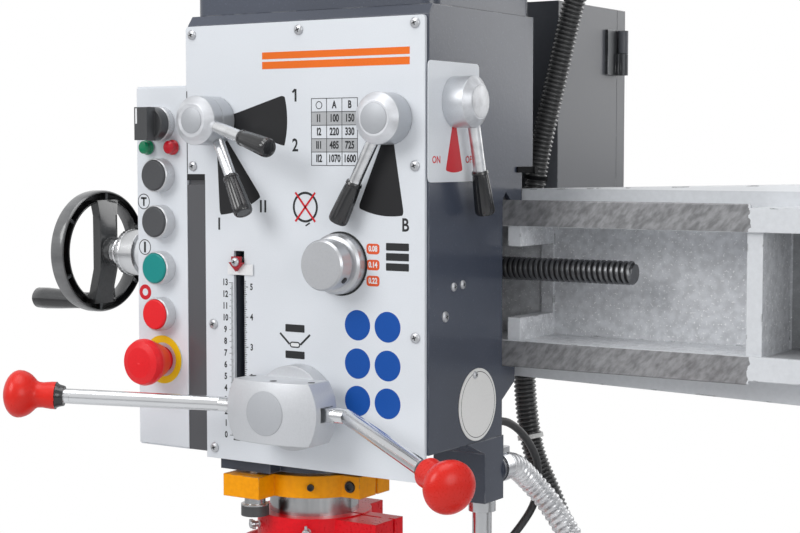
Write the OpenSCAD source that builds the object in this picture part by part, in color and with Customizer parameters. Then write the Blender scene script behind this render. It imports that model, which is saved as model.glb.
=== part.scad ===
// Radial arm drill: T-slotted base, round column, swinging arm and drilling head.
// Millimetres, +Z up. The origin is on the column's axis at the floor.
// The arm points to -X and the operator stands on the -Y side.
// Pieces of the arm and the head use the head frame, whose origin is the lower
// right corner of the front plate: X to the column, Y to the back, Z up.

/* [Base and column] */
// Length of the base along the arm
base_l = 1140; // [1080:10:1240]
// Width of the base
base_w = 560; // [500:10:640]
// Height of the T-slotted working face
base_h = 130; // [110:5:150]
// Column axis to the base's right end
base_tail = 240; // [220:5:280]
// Distance between the two T-slots
tslot_gap = 220; // [160:10:280]
// Width of a T-slot's mouth
tslot_w = 18; // [14:1:22]
// Diameter of an anchor hole
anchor_d = 18; // [14:1:22]
// Outer diameter of the column
column_d = 180; // [170:2:190]
// Wall of the column tube
column_wall = 20; // [14:1:24]
// Height of the column's top end
column_top = 1400; // [1380:10:1460]

/* [Place of the head] */
// Column axis to the front plate's right edge
head_reach = 480; // [470:5:520]
// Column axis to the front plate's face
head_front = 160; // [150:5:170]
// Height of the front plate's lower edge
head_height = 900; // [860:10:920]

/* [Arm] */
// Left end of the arm in the head frame
arm_left = -400; // [-410:5:-390]
// Right end of the machined rails
rail_end = 220; // [210:5:230]
// Front plane of the rails
rail_y = 120; // [118:1:122]
// Height of the middle of the rails
rail_mid = 151; // [149:1:153]
// Height over both rails
rail_span = 140; // [136:1:144]
// Height of one rail's face
rail_face = 22; // [18:1:26]
// Back of the arm's beam
beam_back = 200; // [198:1:203]
// Outer diameter of the sleeve on the column
sleeve_d = 260; // [250:5:270]
// Height of the sleeve
sleeve_h = 300; // [280:10:320]
// Pitch between the beam's ribs
rib_pitch = 205; // [200:1:210]

/* [Head] */
// Width of the front plate and of the casting
plate_w = 240; // [238:1:242]
// Height of the front plate
plate_h = 367; // [364:1:368]
// Thickness of the front plate
plate_t = 3; // [2:0.5:4]
// Height of the seam under the top cover
seam_z = 376; // [374:1:380]
// Back of the casting above the arm
head_back = 172; // [170:1:175]
// Width of the control box
box_w = 56; // [54:1:60]

/* [Spindle] */
// Spindle axis in the head frame, X
spindle_x = -160; // [-162:1:-158]
// Spindle axis in the head frame, Y
spindle_y = 74; // [72:1:76]
// Diameter of the quill
quill_d = 78; // [76:1:80]
// Diameter of the yellow collar
collar_d = 102; // [98:1:104]

/* [Feed handles] */
// Feed hub axis, X
feed_x = -120; // [-121:1:-119]
// Feed hub axis, Z
feed_z = 52; // [51:1:54]
// Reach of an arm from its bend to the middle of its knob
feed_reach = 162; // [150:1:166]
// Lean of the arms towards the operator
feed_lean = 31; // [26:1:36]
// Diameter of a red knob
knob_d = 39; // [36:1:44]

/* [Selectors] */
// Height of the selector hubs
selector_z = 287; // [285:1:289]
// Hubs left and right of the plate's middle
selector_gap = 88; // [86:1:90]
// Diameter of a selector hub
selector_d = 41; // [38:1:43]
// Length of a selector lever from its hub's axis
lever_l = 93; // [90:1:96]

/* [Traverse] */
// Diameter of the traverse screw
screw_d = 20; // [18:1:22]
// Height of the traverse screw
screw_z = 162; // [161:1:163]
// Place of the traverse screw from front to back
screw_y = 145; // [144:1:147]
// Diameter of the handwheel
wheel_d = 122; // [116:2:130]

/* [Hidden] */
$fn = 64;
// Running clearance of a shaft in its bore, on the radius
run = 0.05;

// Base
base_x0 = base_tail - base_l;
base_flange = 30;
base_inset = 34;
tslot_depth = 26;
tslot_head_w = tslot_w + 12;
tslot_head_h = 12;
tslot_end = -260;
anchor_inset = 45;
gutter_w = 18;
gutter_depth = 10;

// Column, its foot and the cap that swings on it
column_r = column_d / 2;
foot_flange_r = 165;
foot_flange_h = 36;
foot_h = 200;
foot_bolts = 8;
foot_bolt_pcd = 280;
cap_h = 50;
cap_r = 114;
lift_y = 168;
lift_r = 18;
lift_low = 540;

// Arm
rail_top = rail_mid + rail_span / 2;
rail_low = rail_mid - rail_span / 2;
tail_run = 14;
tail_rise = 12;
beam_y = 155;
beam_rise = 2.5;
beam_taper_top = 10;
beam_taper_low = 14;
wall_y = 185;
rib_w = 12;
rib_x = rail_end - 4;
notch_low = 122;
notch_top = 182;
sleeve_x = head_reach;
sleeve_y = head_front;
root_x = 330;

// Head
guide_gap = 0.1;
gib_low = [rail_y + tail_run + 5.6, rail_top - tail_rise + 6.1];
gib_high = [rail_y + 5.5, rail_top + 6.2];
hook_y = 153;
hook_low = 245;
casting_low = 22;
casting_right = 2;
lip_y = 142;
lip_low = 66;
lip_corner = 52;
slot_x = -184;
slot_w = 11;
slot_top = 178;
slot_low = 30;
notch_w = 20;
notch_z = 237;
boss_low = -10.5;
collar_low = -32;
collar_top = -13;
depth_y = 20;

// Quill feed: a rack on the quill and a pinion on the feed hub's shaft
quill_r = quill_d / 2;
quill_low = -74;
quill_top = 202;
bearing_r = 26;
pinion_teeth = 12;
pinion_r = 10.5;
tooth_pitch = 2 * PI * pinion_r / pinion_teeth;
tooth_module = 2 * pinion_r / pinion_teeth;
tooth_addendum = 0.7 * tooth_module;
tooth_root = 1.0 * tooth_module;
tooth_slack = 0.35;
pressure = 20;
rack_x = feed_x - pinion_r;
rack_low = feed_z - 19;
rack_teeth = 30;

// Feed hub and arms
hub_back = -13;
hub_front = -49;
hub_r = 44.7;
hub_h = 50.4;
dome_r = 110;
dome_y = dome_r - 50.5;
drum_r = 35;
arm_y = -26;
arm_bend = 64;
arm_d = 12.5;
tongue_h = 11;
tongue_t = 10;
pivot_x = 30;
pin_r = 3;
roll_left = 5;
roll_right = -18;

// Selectors
selector_r = selector_d / 2;
selector_left = -plate_w / 2 - selector_gap;
selector_right = -plate_w / 2 + selector_gap;
side_y = 41;
side_z = 300.5;
grip_l = 42;

// Control box
box_left = -plate_w - box_w;
box_mid = -plate_w - box_w / 2;
box_low = 6;
box_top = 316;
box_depth = 82;
button_z = [241, 201, 161, 121];
button_r = 14.5;
cap_face_r = 13;
button_out = 10;
button_gap = 5;
stop_z = 81;
lamp_z = 265;
lamp_gap = 14;
switch_z = 285;

// Cabinet, motor and top cover
cab_x0 = -300;
cab_x1 = -6.5;
cab_y0 = 235;
cab_y1 = 355;
cab_z0 = 112;
cab_z1 = 396;
door_t = 18;
cab_wall = 2;
hinge_x = cab_x1 + 6;
hinge_y = cab_y1 + 1;
motor_x = -100;
motor_y = 95;
motor_r = 80;
cover_top = 446;
motor_top = 716;
terminal_x = 30;

// Coolant
block_y0 = 91;
block_y1 = 122;
block_low = -32;
pipe_x = -9;
pipe_y = 106;
pipe_r = 8.2;

// Handwheel
wheel_x = -478;
crank_r = 51;

// Routes of the conduit, the coolant hose and the switch cable, in the head frame
conduit_d = 21;
conduit_bore = 14;
conduit_ribs = 150;
conduit_route = [
    [66, 143, 520], [66, 164, 520], [64, 188, 510], [57, 206, 488], [44, 214, 455],
    [19, 217, 395], [2, 217, 330], [-17, 217, 250], [-25, 217, 170], [-29, 217, 90],
    [-28, 217, 40], [-20, 217, -6], [-2, 217, -45], [18, 216, -84], [42, 214, -124],
    [76, 211, -160], [118, 207, -184], [166, 202, -194], [214, 196, -188], [256, 190, -168],
    [290, 184, -136], [312, 181, -96], [324, 179, -52], [329, 178, -8], [330, 178, 20],
    [330, 178, 44.3]
];
hose_d = 22;
hose_bore = 15;
hose_ribs = 56;
hose_route = [
    [-8, 124.4, -8], [-8, 146, -8], [-7, 164, -14], [-2, 180, -28], [12, 188, -47],
    [31, 190, -74], [46, 188, -100], [62, 187, -130], [84, 185, -162], [114, 181, -191],
    [152, 176, -212], [196, 168, -222], [242, 157, -218], [284, 146, -202], [320, 136, -172],
    [348, 128, -134], [366, 123, -92], [373, 121, -54], [375, 120, -30], [375, 120, -8.6]
];
cable_d = 7;
cable_route = [
    [-14, 128.5, 30], [-13, 140, 30], [-10, 153, 27], [-7, 168, 18], [-5, 184, 3],
    [-4, 195, -14], [-6, 200, -34], [-11, 198, -56], [-26, 189, -82], [-46, 176, -108],
    [-71, 160, -126], [-100, 146, -130], [-126, 138, -114], [-143, 134, -92], [-150, 133, -79],
    [-150, 133, -71]
];

// Helpers
module at_head() translate([-head_reach, -head_front, head_height]) children();
module block(x0, x1, y0, y1, z0, z1) translate([x0, y0, z0]) cube([x1 - x0, y1 - y0, z1 - z0]);
module rod_x(x0, x1, y, z, r) translate([x0, y, z]) rotate([0, 90, 0]) cylinder(r = r, h = x1 - x0);
module rod_y(x, y0, y1, z, r) translate([x, y0, z]) rotate([-90, 0, 0]) cylinder(r = r, h = y1 - y0);
module rod_z(x, y, z0, z1, r) translate([x, y, z0]) cylinder(r = r, h = z1 - z0);
module ring_z(x, y, z0, z1, r, bore) {
    difference() {
        rod_z(x, y, z0, z1, r);
        rod_z(x, y, z0 - 1, z1 + 1, bore);
    }
}
module sheet_x(x0, x1) translate([x0, 0, 0]) rotate([90, 0, 90]) linear_extrude(x1 - x0) children();
module sheet_y(y0, y1) translate([0, y1, 0]) rotate([90, 0, 0]) linear_extrude(y1 - y0) children();
module rounded(x0, x1, y0, y1, r) {
    translate([x0 + r, y0]) square([x1 - x0 - 2 * r, y1 - y0]);
    translate([x0, y0 + r]) square([x1 - x0, y1 - y0 - 2 * r]);
    for (x = [x0 + r, x1 - r], y = [y0 + r, y1 - r]) translate([x, y]) circle(r);
}
// Turns +Z to point along a direction
module aim(d) rotate([0, acos(d[2] / norm(d)), atan2(d[1], d[0])]) children();
module strut(a, b, r) translate(a) aim(b - a) cylinder(r = r, h = norm(b - a));
// A round piece on an axis along -Y: profile points are [radius, distance in front]
module turned_y(x, y, z, profile) {
    translate([x, y, z]) rotate([90, 0, 0]) rotate_extrude() polygon(profile);
}

// Smooth routes: a Catmull-Rom curve through the points, walked at even steps
function unit(v) = v / norm(v);
function route_at(p, i, t) =
    let (a = p[max(i - 1, 0)], b = p[i], c = p[i + 1], d = p[min(i + 2, len(p) - 1)])
    0.5 * (2 * b + (c - a) * t + (2 * a - 5 * b + 4 * c - d) * t * t + (3 * b - a - 3 * c + d) * t * t * t);
function fine_route(p, per) = concat(
    [for (i = [0 : len(p) - 2], k = [0 : per - 1]) route_at(p, i, k / per)], [p[len(p) - 1]]);
function lengths(q) = [for (i = 0, s = 0; i < len(q); s = s + (i + 1 < len(q) ? norm(q[i + 1] - q[i]) : 0),
    i = i + 1) s];
function walk(q, s, at) = let (
    j = min(max([for (i = [0 : len(q) - 1]) if (s[i] <= at + 1e-6) i]), len(q) - 2),
    f = (at - s[j]) / (s[j + 1] - s[j])) q[j] + (q[j + 1] - q[j]) * min(max(f, 0), 1);
function even_points(p, n) = let (q = fine_route(p, 6), s = lengths(q), all = s[len(s) - 1])
    [for (i = [0 : n]) walk(q, s, all * i / n)];
function tangents(q) = [for (i = [0 : len(q) - 1]) unit(q[min(i + 1, len(q) - 1)] - q[max(i - 1, 0)])];
function square_to(u, t) = unit(u - (u * t) * t);
function sides(t) = [for (i = 0, u = square_to([0.3, 0.2, 1] , t[0]); i < len(t);
    i = i + 1, u = i < len(t) ? square_to(u, t[i]) : u) u];
function ring(c, t, u, r, n) = let (v = cross(t, u))
    [for (k = [0 : n - 1]) c + r * (cos(360 * k / n) * u + sin(360 * k / n) * v)];
// Skin over rings; a closed row of rings makes a tube with a bore
module skin(rings, closed) {
    n = len(rings[0]);
    m = len(rings);
    last = closed ? m - 1 : m - 2;
    walls = [for (i = [0 : last], k = [0 : n - 1]) let (
        a = i * n + k, b = i * n + (k + 1) % n,
        c = ((i + 1) % m) * n + k, d = ((i + 1) % m) * n + (k + 1) % n) each [[a, b, d], [a, d, c]]];
    caps = closed ? [] : [for (k = [1 : n - 2]) each [[0, k + 1, k],
        [(m - 1) * n, (m - 1) * n + k, (m - 1) * n + k + 1]]];
    polyhedron(points = [for (r = rings) each r], faces = [for (f = concat(walls, caps)) [f[0], f[2], f[1]]]);
}
// Ribbed hose: one rib is two rings, and the bore runs back inside
module ribbed_hose(route, ribs, outer, rib_depth, bore, n) {
    q = even_points(route, 2 * ribs);
    t = tangents(q);
    u = sides(t);
    ends = 2;
    outside = [for (i = [0 : 2 * ribs]) ring(q[i], t[i], u[i],
        outer / 2 - ((i % 2 == 0 || i < ends || i > 2 * ribs - ends) ? rib_depth : 0), n)];
    inside = [for (i = [2 * ribs : -6 : 0]) ring(q[i], t[i], u[i], bore / 2, n)];
    skin(concat(outside, inside), true);
}
module plain_cable(route, rings, d, n) {
    q = even_points(route, rings);
    t = tangents(q);
    u = sides(t);
    skin([for (i = [0 : rings]) ring(q[i], t[i], u[i], d / 2, n)], false);
}

// Base and column
module base_plate() color("#4b525c") {
    difference() {
        union() {
            linear_extrude(base_flange) rounded(base_x0, base_tail, -base_w / 2, base_w / 2, 40);
            linear_extrude(base_h) rounded(base_x0 + base_inset, base_tail - base_inset,
                -base_w / 2 + base_inset, base_w / 2 - base_inset, 30);
        }
        for (side = [-1, 1]) {
            y = side * tslot_gap / 2;
            block(base_x0 - 1, tslot_end, y - tslot_w / 2, y + tslot_w / 2, base_h - tslot_depth, base_h + 1);
            block(base_x0 - 1, tslot_end, y - tslot_head_w / 2, y + tslot_head_w / 2,
                base_h - tslot_depth, base_h - tslot_depth + tslot_head_h);
        }
        translate([0, 0, base_h - gutter_depth]) linear_extrude(gutter_depth + 1) difference() {
            rounded(base_x0 + base_inset + 14, tslot_end + 60, -base_w / 2 + base_inset + 14,
                base_w / 2 - base_inset - 14, 22);
            rounded(base_x0 + base_inset + 14 + gutter_w, tslot_end + 60 - gutter_w,
                -base_w / 2 + base_inset + 14 + gutter_w, base_w / 2 - base_inset - 14 - gutter_w, 8);
        }
        for (x = [base_x0 + anchor_inset - 26, base_tail - anchor_inset + 26], y = [-1, 1])
            rod_z(x, y * (base_w / 2 - anchor_inset - 30), -1, base_flange + 1, anchor_d / 2);
        for (i = [0 : foot_bolts - 1]) rotate(360 * (i + 0.5) / foot_bolts)
            rod_z(foot_bolt_pcd / 2, 0, base_h - 40, base_h + 1, 7);
        for (x = [base_x0 + anchor_inset - 26, base_tail - anchor_inset + 26], y = [-1, 1])
            translate([x, y * (base_w / 2 - anchor_inset - 30), base_flange]) cylinder(r = 24, h = base_h);
    }
}
module column_foot() color("#4b525c") {
    difference() {
        translate([0, 0, base_h]) rotate_extrude() difference() {
            union() {
                square([foot_flange_r, foot_flange_h]);
                square([column_r + 32, foot_h]);
                square([column_r + 52, foot_flange_h + 20]);
                translate([0, foot_h - 24]) square([column_r + 38, 18]);
            }
            translate([column_r + 52, foot_flange_h + 20]) circle(20);
            translate([-1, -1]) square([column_r + 1 + run, foot_h + 2]);
        }
        for (i = [0 : foot_bolts - 1]) rotate(360 * (i + 0.5) / foot_bolts)
            rod_z(foot_bolt_pcd / 2, 0, base_h - 1, base_h + foot_flange_h + 1, 9);
    }
}
module column() color("#b9bcc0") ring_z(0, 0, base_h, column_top, column_r, column_r - column_wall);
// Cap that turns on the column's top and hangs the lift screw, with the lift gear housing
module column_cap() color("#4b525c") {
    difference() {
        union() {
            rod_z(0, 0, column_top, column_top + cap_h, cap_r);
            rod_z(0, 0, column_top - 46, column_top, column_r - column_wall - run);
            rod_z(0, lift_y, column_top, column_top + cap_h, 52);
            block(-52, 52, 0, lift_y, column_top, column_top + cap_h);
            translate([0, 0, column_top + cap_h]) linear_extrude(58) rounded(-66, 66, -66, lift_y + 40, 18);
        }
        rod_z(0, lift_y, column_top - 1, column_top + cap_h, lift_r + run);
    }
}
module motor_body(x, y, z0, z1, r) {
    flange_h = 14;
    fan_h = 46;
    fins = 28;
    rod_z(x, y, z0, z0 + flange_h, r * 1.14);
    rod_z(x, y, z0 + flange_h, z1 - fan_h, r * 0.9);
    for (i = [4 : fins - 4]) translate([x, y, 0]) rotate(360 * i / fins)
        block(r * 0.88, r, -1.6, 1.6, z0 + flange_h + 16, z1 - fan_h - 8);
    rod_z(x, y, z1 - fan_h, z1 - 6, r * 1.02);
    rod_z(x, y, z1 - 7, z1, r * 0.86);
}
module lift_motor() color("#59616b") {
    z0 = column_top + cap_h + 58;
    motor_body(0, 0, z0, z0 + 192, 62);
    block(44, 92, -28, 28, z0 + 46, z0 + 110);
}
module lift_screw() color("#8d9196") {
    rod_z(0, lift_y, lift_low, column_top + cap_h - 4, lift_r);
    rod_z(0, lift_y, lift_low - 12, lift_low, lift_r + 8);
}

// Arm with its dovetail rails, ribbed channel and split sleeve
module rail(flip) {
    edge = flip ? rail_low : rail_top;
    inner = flip ? rail_low + rail_face : rail_top - rail_face;
    tail = flip ? rail_low + tail_rise : rail_top - tail_rise;
    sheet_x(arm_left, rail_end) polygon([[rail_y, inner], [rail_y, edge], [rail_y + tail_run, tail],
        [beam_y + 1, tail], [beam_y + 1, inner]]);
}
module beam_outline() {
    polygon([[arm_left, rail_low - 4], [arm_left, rail_top + beam_rise - 4],
        [root_x, rail_top + beam_rise + beam_taper_top + 4], [sleeve_x, sleeve_h - 14],
        [sleeve_x, 14], [root_x, rail_low - beam_taper_low - 6]]);
}
module rib(x) {
    difference() {
        block(x - rib_w / 2, x + rib_w / 2, rail_y + 4, wall_y + 1, rail_low + rail_face - 2,
            rail_top - rail_face + 2);
        block(x - rib_w, x + rib_w, rail_y, wall_y - 2, notch_low, notch_top);
    }
}
module arm() color("#dfe1e4") at_head() {
    difference() {
        union() {
            rail(false);
            rail(true);
            sheet_y(beam_y, beam_back) beam_outline();
            for (low = [false, true]) {
                z = low ? rail_low + 3 : rail_top - rail_face;
                block(rail_end, root_x + 40, rail_y, beam_y + 1, z, z + rail_face - 3);
            }
            block(root_x - 20, sleeve_x, rail_y, beam_back, rail_low + 3, rail_top - 3);
            rod_z(sleeve_x, sleeve_y, 0, sleeve_h, sleeve_d / 2);
            translate([0, lift_y + sleeve_y, 0]) block(sleeve_x - 46, sleeve_x + 46, -56, 0, 90, 210);
            rod_z(sleeve_x, lift_y + sleeve_y, 90, 210, 46);
            block(sleeve_x + 110, sleeve_x + 178, sleeve_y - 46, sleeve_y + 46, 40, 260);
            rod_z(330, 178, 45, 80, 14);
            rod_z(375, 120, -8, 10, 15);
        }
        block(arm_left + 18, root_x - 20, rail_y - 1, wall_y, rail_low + rail_face, rail_top - rail_face);
        rod_z(sleeve_x, sleeve_y, -1, sleeve_h + 1, column_r + run);
        rod_z(sleeve_x, sleeve_y + lift_y, 80, 220, 28);
        block(sleeve_x, sleeve_x + 200, sleeve_y - 2, sleeve_y + 2, -1, sleeve_h + 1);
        rod_y(sleeve_x + 154, sleeve_y - 60, sleeve_y + 60, rail_mid, 9);
        rod_x(arm_left - 1, arm_left + 20, screw_y, screw_z, 16);
    }
    for (k = [-1 : 0]) rib(rib_x - rib_pitch + k * rib_pitch);
    block(rib_x, rib_x + rib_w + 1, rail_y + 4, wall_y + 1, rail_low + rail_face - 2,
        rail_top - rail_face + 2);
}
module lift_nut() color("#b58d46") at_head() difference() {
    union() {
        rod_z(sleeve_x, sleeve_y + lift_y, 100, 210, 28);
        rod_z(sleeve_x, sleeve_y + lift_y, 210, 222, 37.5);
    }
    rod_z(sleeve_x, sleeve_y + lift_y, 90, 230, lift_r + run);
}
// End bracket of the arm that carries the traverse screw
module screw_bracket() color("#d5d8dc") at_head() difference() {
    union() {
        sheet_x(arm_left - 12, arm_left) rounded(rail_y + 2, beam_back - 4, rail_low + 4, rail_top - 2, 10);
        rod_x(arm_left, arm_left + 18, screw_y, screw_z, 15.9);
    }
    rod_x(arm_left - 50, arm_left + 30, screw_y, screw_z, screw_d / 2 + run);
}
module clamp_lever() color("#2a2c2f") at_head() {
    hub = [sleeve_x + 154, sleeve_y - 70, rail_mid];
    rod_y(hub[0], hub[1], sleeve_y - 46.5, hub[2], 18);
    rod_y(hub[0], sleeve_y - 46.5, sleeve_y + 46.5, hub[2], 8.6);
    rod_y(hub[0], sleeve_y + 46.5, sleeve_y + 62, hub[2], 16);
    strut(hub + [0, 12, 0], hub + [40, -22, 100], 7);
    translate(hub + [44, -25.4, 110]) sphere(17);
}

// Head: casting, guides and covers
module casting_side() {
    polygon([
        [plate_t, casting_low], [plate_t, seam_z - 8], [plate_t + 6, seam_z], [head_back, seam_z],
        [head_back, hook_low], [hook_y, hook_low], [hook_y, rail_top - tail_rise + guide_gap],
        [rail_y + tail_run + 0.5, rail_top - tail_rise + guide_gap], gib_low, gib_high,
        [rail_y - guide_gap, rail_top],
        [rail_y - guide_gap, rail_low - 0.25], [rail_y + tail_run + 0.2, rail_low + tail_rise - guide_gap],
        [lip_y, rail_low + tail_rise - guide_gap], [lip_y, lip_low], [rail_y, lip_corner],
        [rail_y, casting_low]
    ]);
}
module head_casting() color("#4d545f") at_head() difference() {
    union() {
        sheet_x(-plate_w, casting_right) casting_side();
        rod_z(spindle_x, spindle_y, boss_low, casting_low + 1, 50);
        block(-213, spindle_x, 10, spindle_y, boss_low, casting_low + 1);
        block(-plate_w, -plate_w + notch_w - 0.4, 0.6, 12, 5, notch_z - 4);
        block(-plate_w, -plate_w + notch_w + 3, plate_t, 60, 5, casting_low + 1);
    }
    rod_z(spindle_x, spindle_y, boss_low - 1, quill_top + 16, quill_r + run);
    rod_z(spindle_x, spindle_y, quill_top, seam_z + 1, 24);
    block(slot_x - 7, slot_x + 7, plate_t - 1, 30, casting_low - 1, slot_top + 4);
    rod_z(slot_x, depth_y, boss_low - 1, casting_low, 6.5);
    rod_y(feed_x, plate_t - 1, 40, feed_z, 11 + run);
    rod_y(feed_x, 40, 112, feed_z, 13.5);
    for (x = [selector_left, selector_right]) rod_y(x, plate_t - 1, 32, selector_z, 8 + run);
    rod_y(-80, plate_t - 1, 50, 171, 8 + run);
    rod_x(casting_right - 40, casting_right + 1, side_y, side_z, 8 + run);
    rod_x(-plate_w - 1, casting_right + 1, screw_y, screw_z, 14);
    block(-232, -198, 100, rail_y, 138, 178);
}
module gib_strip() color("#7d7f80") at_head() sheet_x(-plate_w + 4, casting_right - 4) polygon([
    [rail_y + 0.15, rail_top + guide_gap], [rail_y + tail_run + 0.25, rail_top - tail_rise + guide_gap],
    gib_low, gib_high]);
module traverse_nut() color("#b58d46") at_head() difference() {
    union() {
        block(-230, -200, 100, 150, 140, 176);
        rod_x(-230, -200, screw_y, screw_z, 17);
    }
    rod_x(-240, -190, screw_y, screw_z, screw_d / 2 + run);
}
module top_cover() color("#4d545f") at_head() difference() {
    union() {
        translate([0, 0, seam_z]) linear_extrude(cover_top - seam_z)
            rounded(-plate_w + 2, casting_right - 1, 9, head_back, 12);
        rod_z(motor_x, motor_y, cover_top - 1, cover_top + 8, motor_r * 1.2);
    }
    rod_z(spindle_x, spindle_y, seam_z - 1, cover_top - 12, 24);
}
module front_plate() color("#d3d7de") at_head() sheet_y(0, plate_t) difference() {
    rounded(-plate_w, 0, 0, plate_h, 3);
    translate([-plate_w - 1, -1]) square([notch_w + 1, notch_z + 1]);
    translate([slot_x - slot_w / 2, slot_low]) square([slot_w, slot_top - slot_low]);
    translate([feed_x, feed_z]) circle(20);
    for (x = [selector_left, selector_right]) translate([x, selector_z]) circle(12);
    translate([-80, 171]) circle(12);
}

// Control box with its buttons, switch and lamps
module control_box() color("#d3d7de") at_head() difference() {
    union() {
        block(box_left, -plate_w, 0, box_depth, box_low, box_top);
        block(box_left - 0.5, -plate_w, 2, 14, box_low - 1.5, box_top + 1.5);
    }
    for (z = button_z) rod_y(box_mid, -1, 20, z, 10);
    rod_y(box_mid, -1, 20, stop_z, 11);
    rod_y(box_mid, -1, 20, switch_z, 7);
}
module control_bezels() color("#c9ccd1") at_head() {
    for (z = button_z) turned_y(box_mid, 0, z, [[cap_face_r + 0.3, 0], [button_r, 0], [button_r, button_out],
        [button_r - 0.8, button_out + 1], [cap_face_r + 0.3, button_out + 1]]);
    turned_y(box_mid, 0, switch_z, [[7.3, 0], [15, 0], [15, 6], [14, 7], [7.3, 7]]);
    turned_y(box_mid, 0, stop_z, [[11.3, 0], [20.8, 0], [20.8, 1], [11.3, 1]]);
}
module pilot_lamps() color("#2f8f57") at_head() for (side = [-1, 1])
    turned_y(box_mid + side * lamp_gap, 0, lamp_z, [[0, 0], [6.5, 0], [6.5, 3], [5.5, 4], [5.5, 8],
        [4, 9.5], [0, 10]]);
module push_button(z) at_head() {
    turned_y(box_mid, 0, z, [[0, button_gap], [cap_face_r, button_gap], [cap_face_r, button_out + 1.6],
        [cap_face_r - 1, button_out + 2.6], [0, button_out + 2.6]]);
    rod_y(box_mid, -button_gap, 8, z, 9.7);
}
module tapping_button() color("#4a4d52") push_button(button_z[0]);
module jog_button() color("#4a4d52") push_button(button_z[1]);
module start_button() color("#1f8f82") push_button(button_z[2]);
module stop_button() color("#d02b2e") push_button(button_z[3]);
module estop_button() color("#d02b2e") at_head() {
    turned_y(box_mid, 0, stop_z, [[0, 0], [10.5, 0], [10.5, 7], [14, 7], [15.5, 11], [19, 20],
        [20.1, 23.5], [20.1, 26.5], [18.5, 30.5], [13, 32], [0, 32.5]]);
    rod_y(box_mid, -1, 10, stop_z, 10.5);
}
module mode_switch() color("#1c1d1f") at_head() {
    turned_y(box_mid, 0, switch_z, [[0, 0], [7, 0], [7, 7.5], [14.5, 7.5], [14.5, 16], [13.5, 17], [0, 17]]);
    block(box_mid - 7, box_mid + 7, -27, -16, switch_z - 14, switch_z + 14);
    rod_y(box_mid, 0, 10, switch_z, 6.7);
}

// Motor, terminal box and electrical cabinet
module spindle_motor() color("#59616b") at_head()
    motor_body(motor_x, motor_y, cover_top + 8, motor_top, motor_r);
module terminal_box() color("#4d545f") at_head() {
    difference() {
        translate([0, 0, 486]) linear_extrude(84)
            rounded(motor_x + motor_r * 0.7, terminal_x + 72, motor_y - 44, motor_y + 32, 8);
        rod_z(motor_x, motor_y, 480, 580, motor_r * 0.9);
    }
}
module cabinet() color("#565d67") at_head() {
    difference() {
        block(cab_x0, cab_x1, cab_y0, cab_y1, cab_z0, cab_z1);
        block(cab_x0 + cab_wall, cab_x1 - cab_wall, cab_y0 + cab_wall, cab_y1 + 1,
            cab_z0 + cab_wall, cab_z1 - cab_wall);
    }
    for (x = [-262, -64]) {
        block(x, x + 32, head_back, cab_y0, 318, 324);
        block(x, x + 32, head_back, head_back + 5, 270, 324);
        block(x, x + 32, cab_y0 - 5, cab_y0, 270, 324);
    }
}
module cabinet_hinges() color("#3a3f47") at_head() for (z = [cab_z0 + 34, cab_z1 - 62]) {
    block(cab_x1, cab_x1 + 3, hinge_y - 26, hinge_y - 6, z, z + 42);
    block(cab_x1, hinge_x, hinge_y - 10, hinge_y - 4, z, z + 20);
    rod_z(hinge_x, hinge_y, z, z + 20, 5);
    rod_z(hinge_x, hinge_y, z + 19, z + 42, 2.5);
}
module cabinet_door() color("#565d67") at_head() {
    difference() {
        block(cab_x0, cab_x1, cab_y1 + 0.5, cab_y1 + door_t, cab_z0, cab_z1);
        block(cab_x0 + cab_wall, cab_x1 - cab_wall, cab_y1, cab_y1 + door_t - cab_wall,
            cab_z0 + cab_wall, cab_z1 - cab_wall);
    }
    rod_y(cab_x0 + 26, cab_y1 + door_t, cab_y1 + door_t + 6, (cab_z0 + cab_z1) / 2, 10);
    for (z = [cab_z0 + 34, cab_z1 - 62]) {
        ring_z(hinge_x, hinge_y, z + 20.5, z + 42, 5, 2.5 + run);
        block(cab_x1, hinge_x, hinge_y + 3.5, hinge_y + 8, z + 20.5, z + 42);
        block(cab_x1, cab_x1 + 3, hinge_y + 3.5, hinge_y + 16, z + 20.5, z + 42);
    }
}

// Coolant pieces
module coolant_block() color("#4d545f") at_head() {
    sheet_x(-48, casting_right + 0.5) polygon([[62, casting_low], [block_y0, 10], [block_y0, block_low],
        [block_y1, block_low], [block_y1, casting_low]]);
    rod_y(-8, block_y1, block_y1 + 2, -8, 13);
}
module coolant_pipe() color("#c4c7cb") at_head() {
    rod_z(pipe_x, pipe_y, block_low - 9, block_low, 11.5);
    rod_z(pipe_x, pipe_y, -128, block_low - 9, pipe_r);
    translate([pipe_x, pipe_y, -128]) sphere(pipe_r);
    strut([pipe_x, pipe_y, -128], [-62, 94, -160], pipe_r);
    strut([-62, 94, -160], [-74, 91.3, -167.2], 5);
}
// Hose clamp, and the glands of the conduit and the cable on the head
module cord_fittings() color("#8d9196") at_head() {
    difference() {
        rod_y(-8, block_y1 + 6, block_y1 + 17, -8, hose_d / 2 + 2.1);
        rod_y(-8, block_y1 + 5, block_y1 + 18, -8, hose_d / 2 + 0.6);
    }
    block(-15, -1, block_y1 + 6, block_y1 + 17, 4.7, 10);
    rod_y(66, motor_y + 32, motor_y + 47, 520, 14);
    rod_y(-14, rail_y, rail_y + 8, 30, 5.6);
}

module conduit() color("#1d1e20") at_head()
    ribbed_hose(conduit_route, conduit_ribs, conduit_d, 1.6, conduit_bore, 8);
module coolant_hose() color("#a9adb2") at_head()
    ribbed_hose(hose_route, hose_ribs, hose_d, 0.8, hose_bore, 8);
module switch_cable() color("#1d1e20") at_head() plain_cable(cable_route, 44, cable_d, 8);

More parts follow.
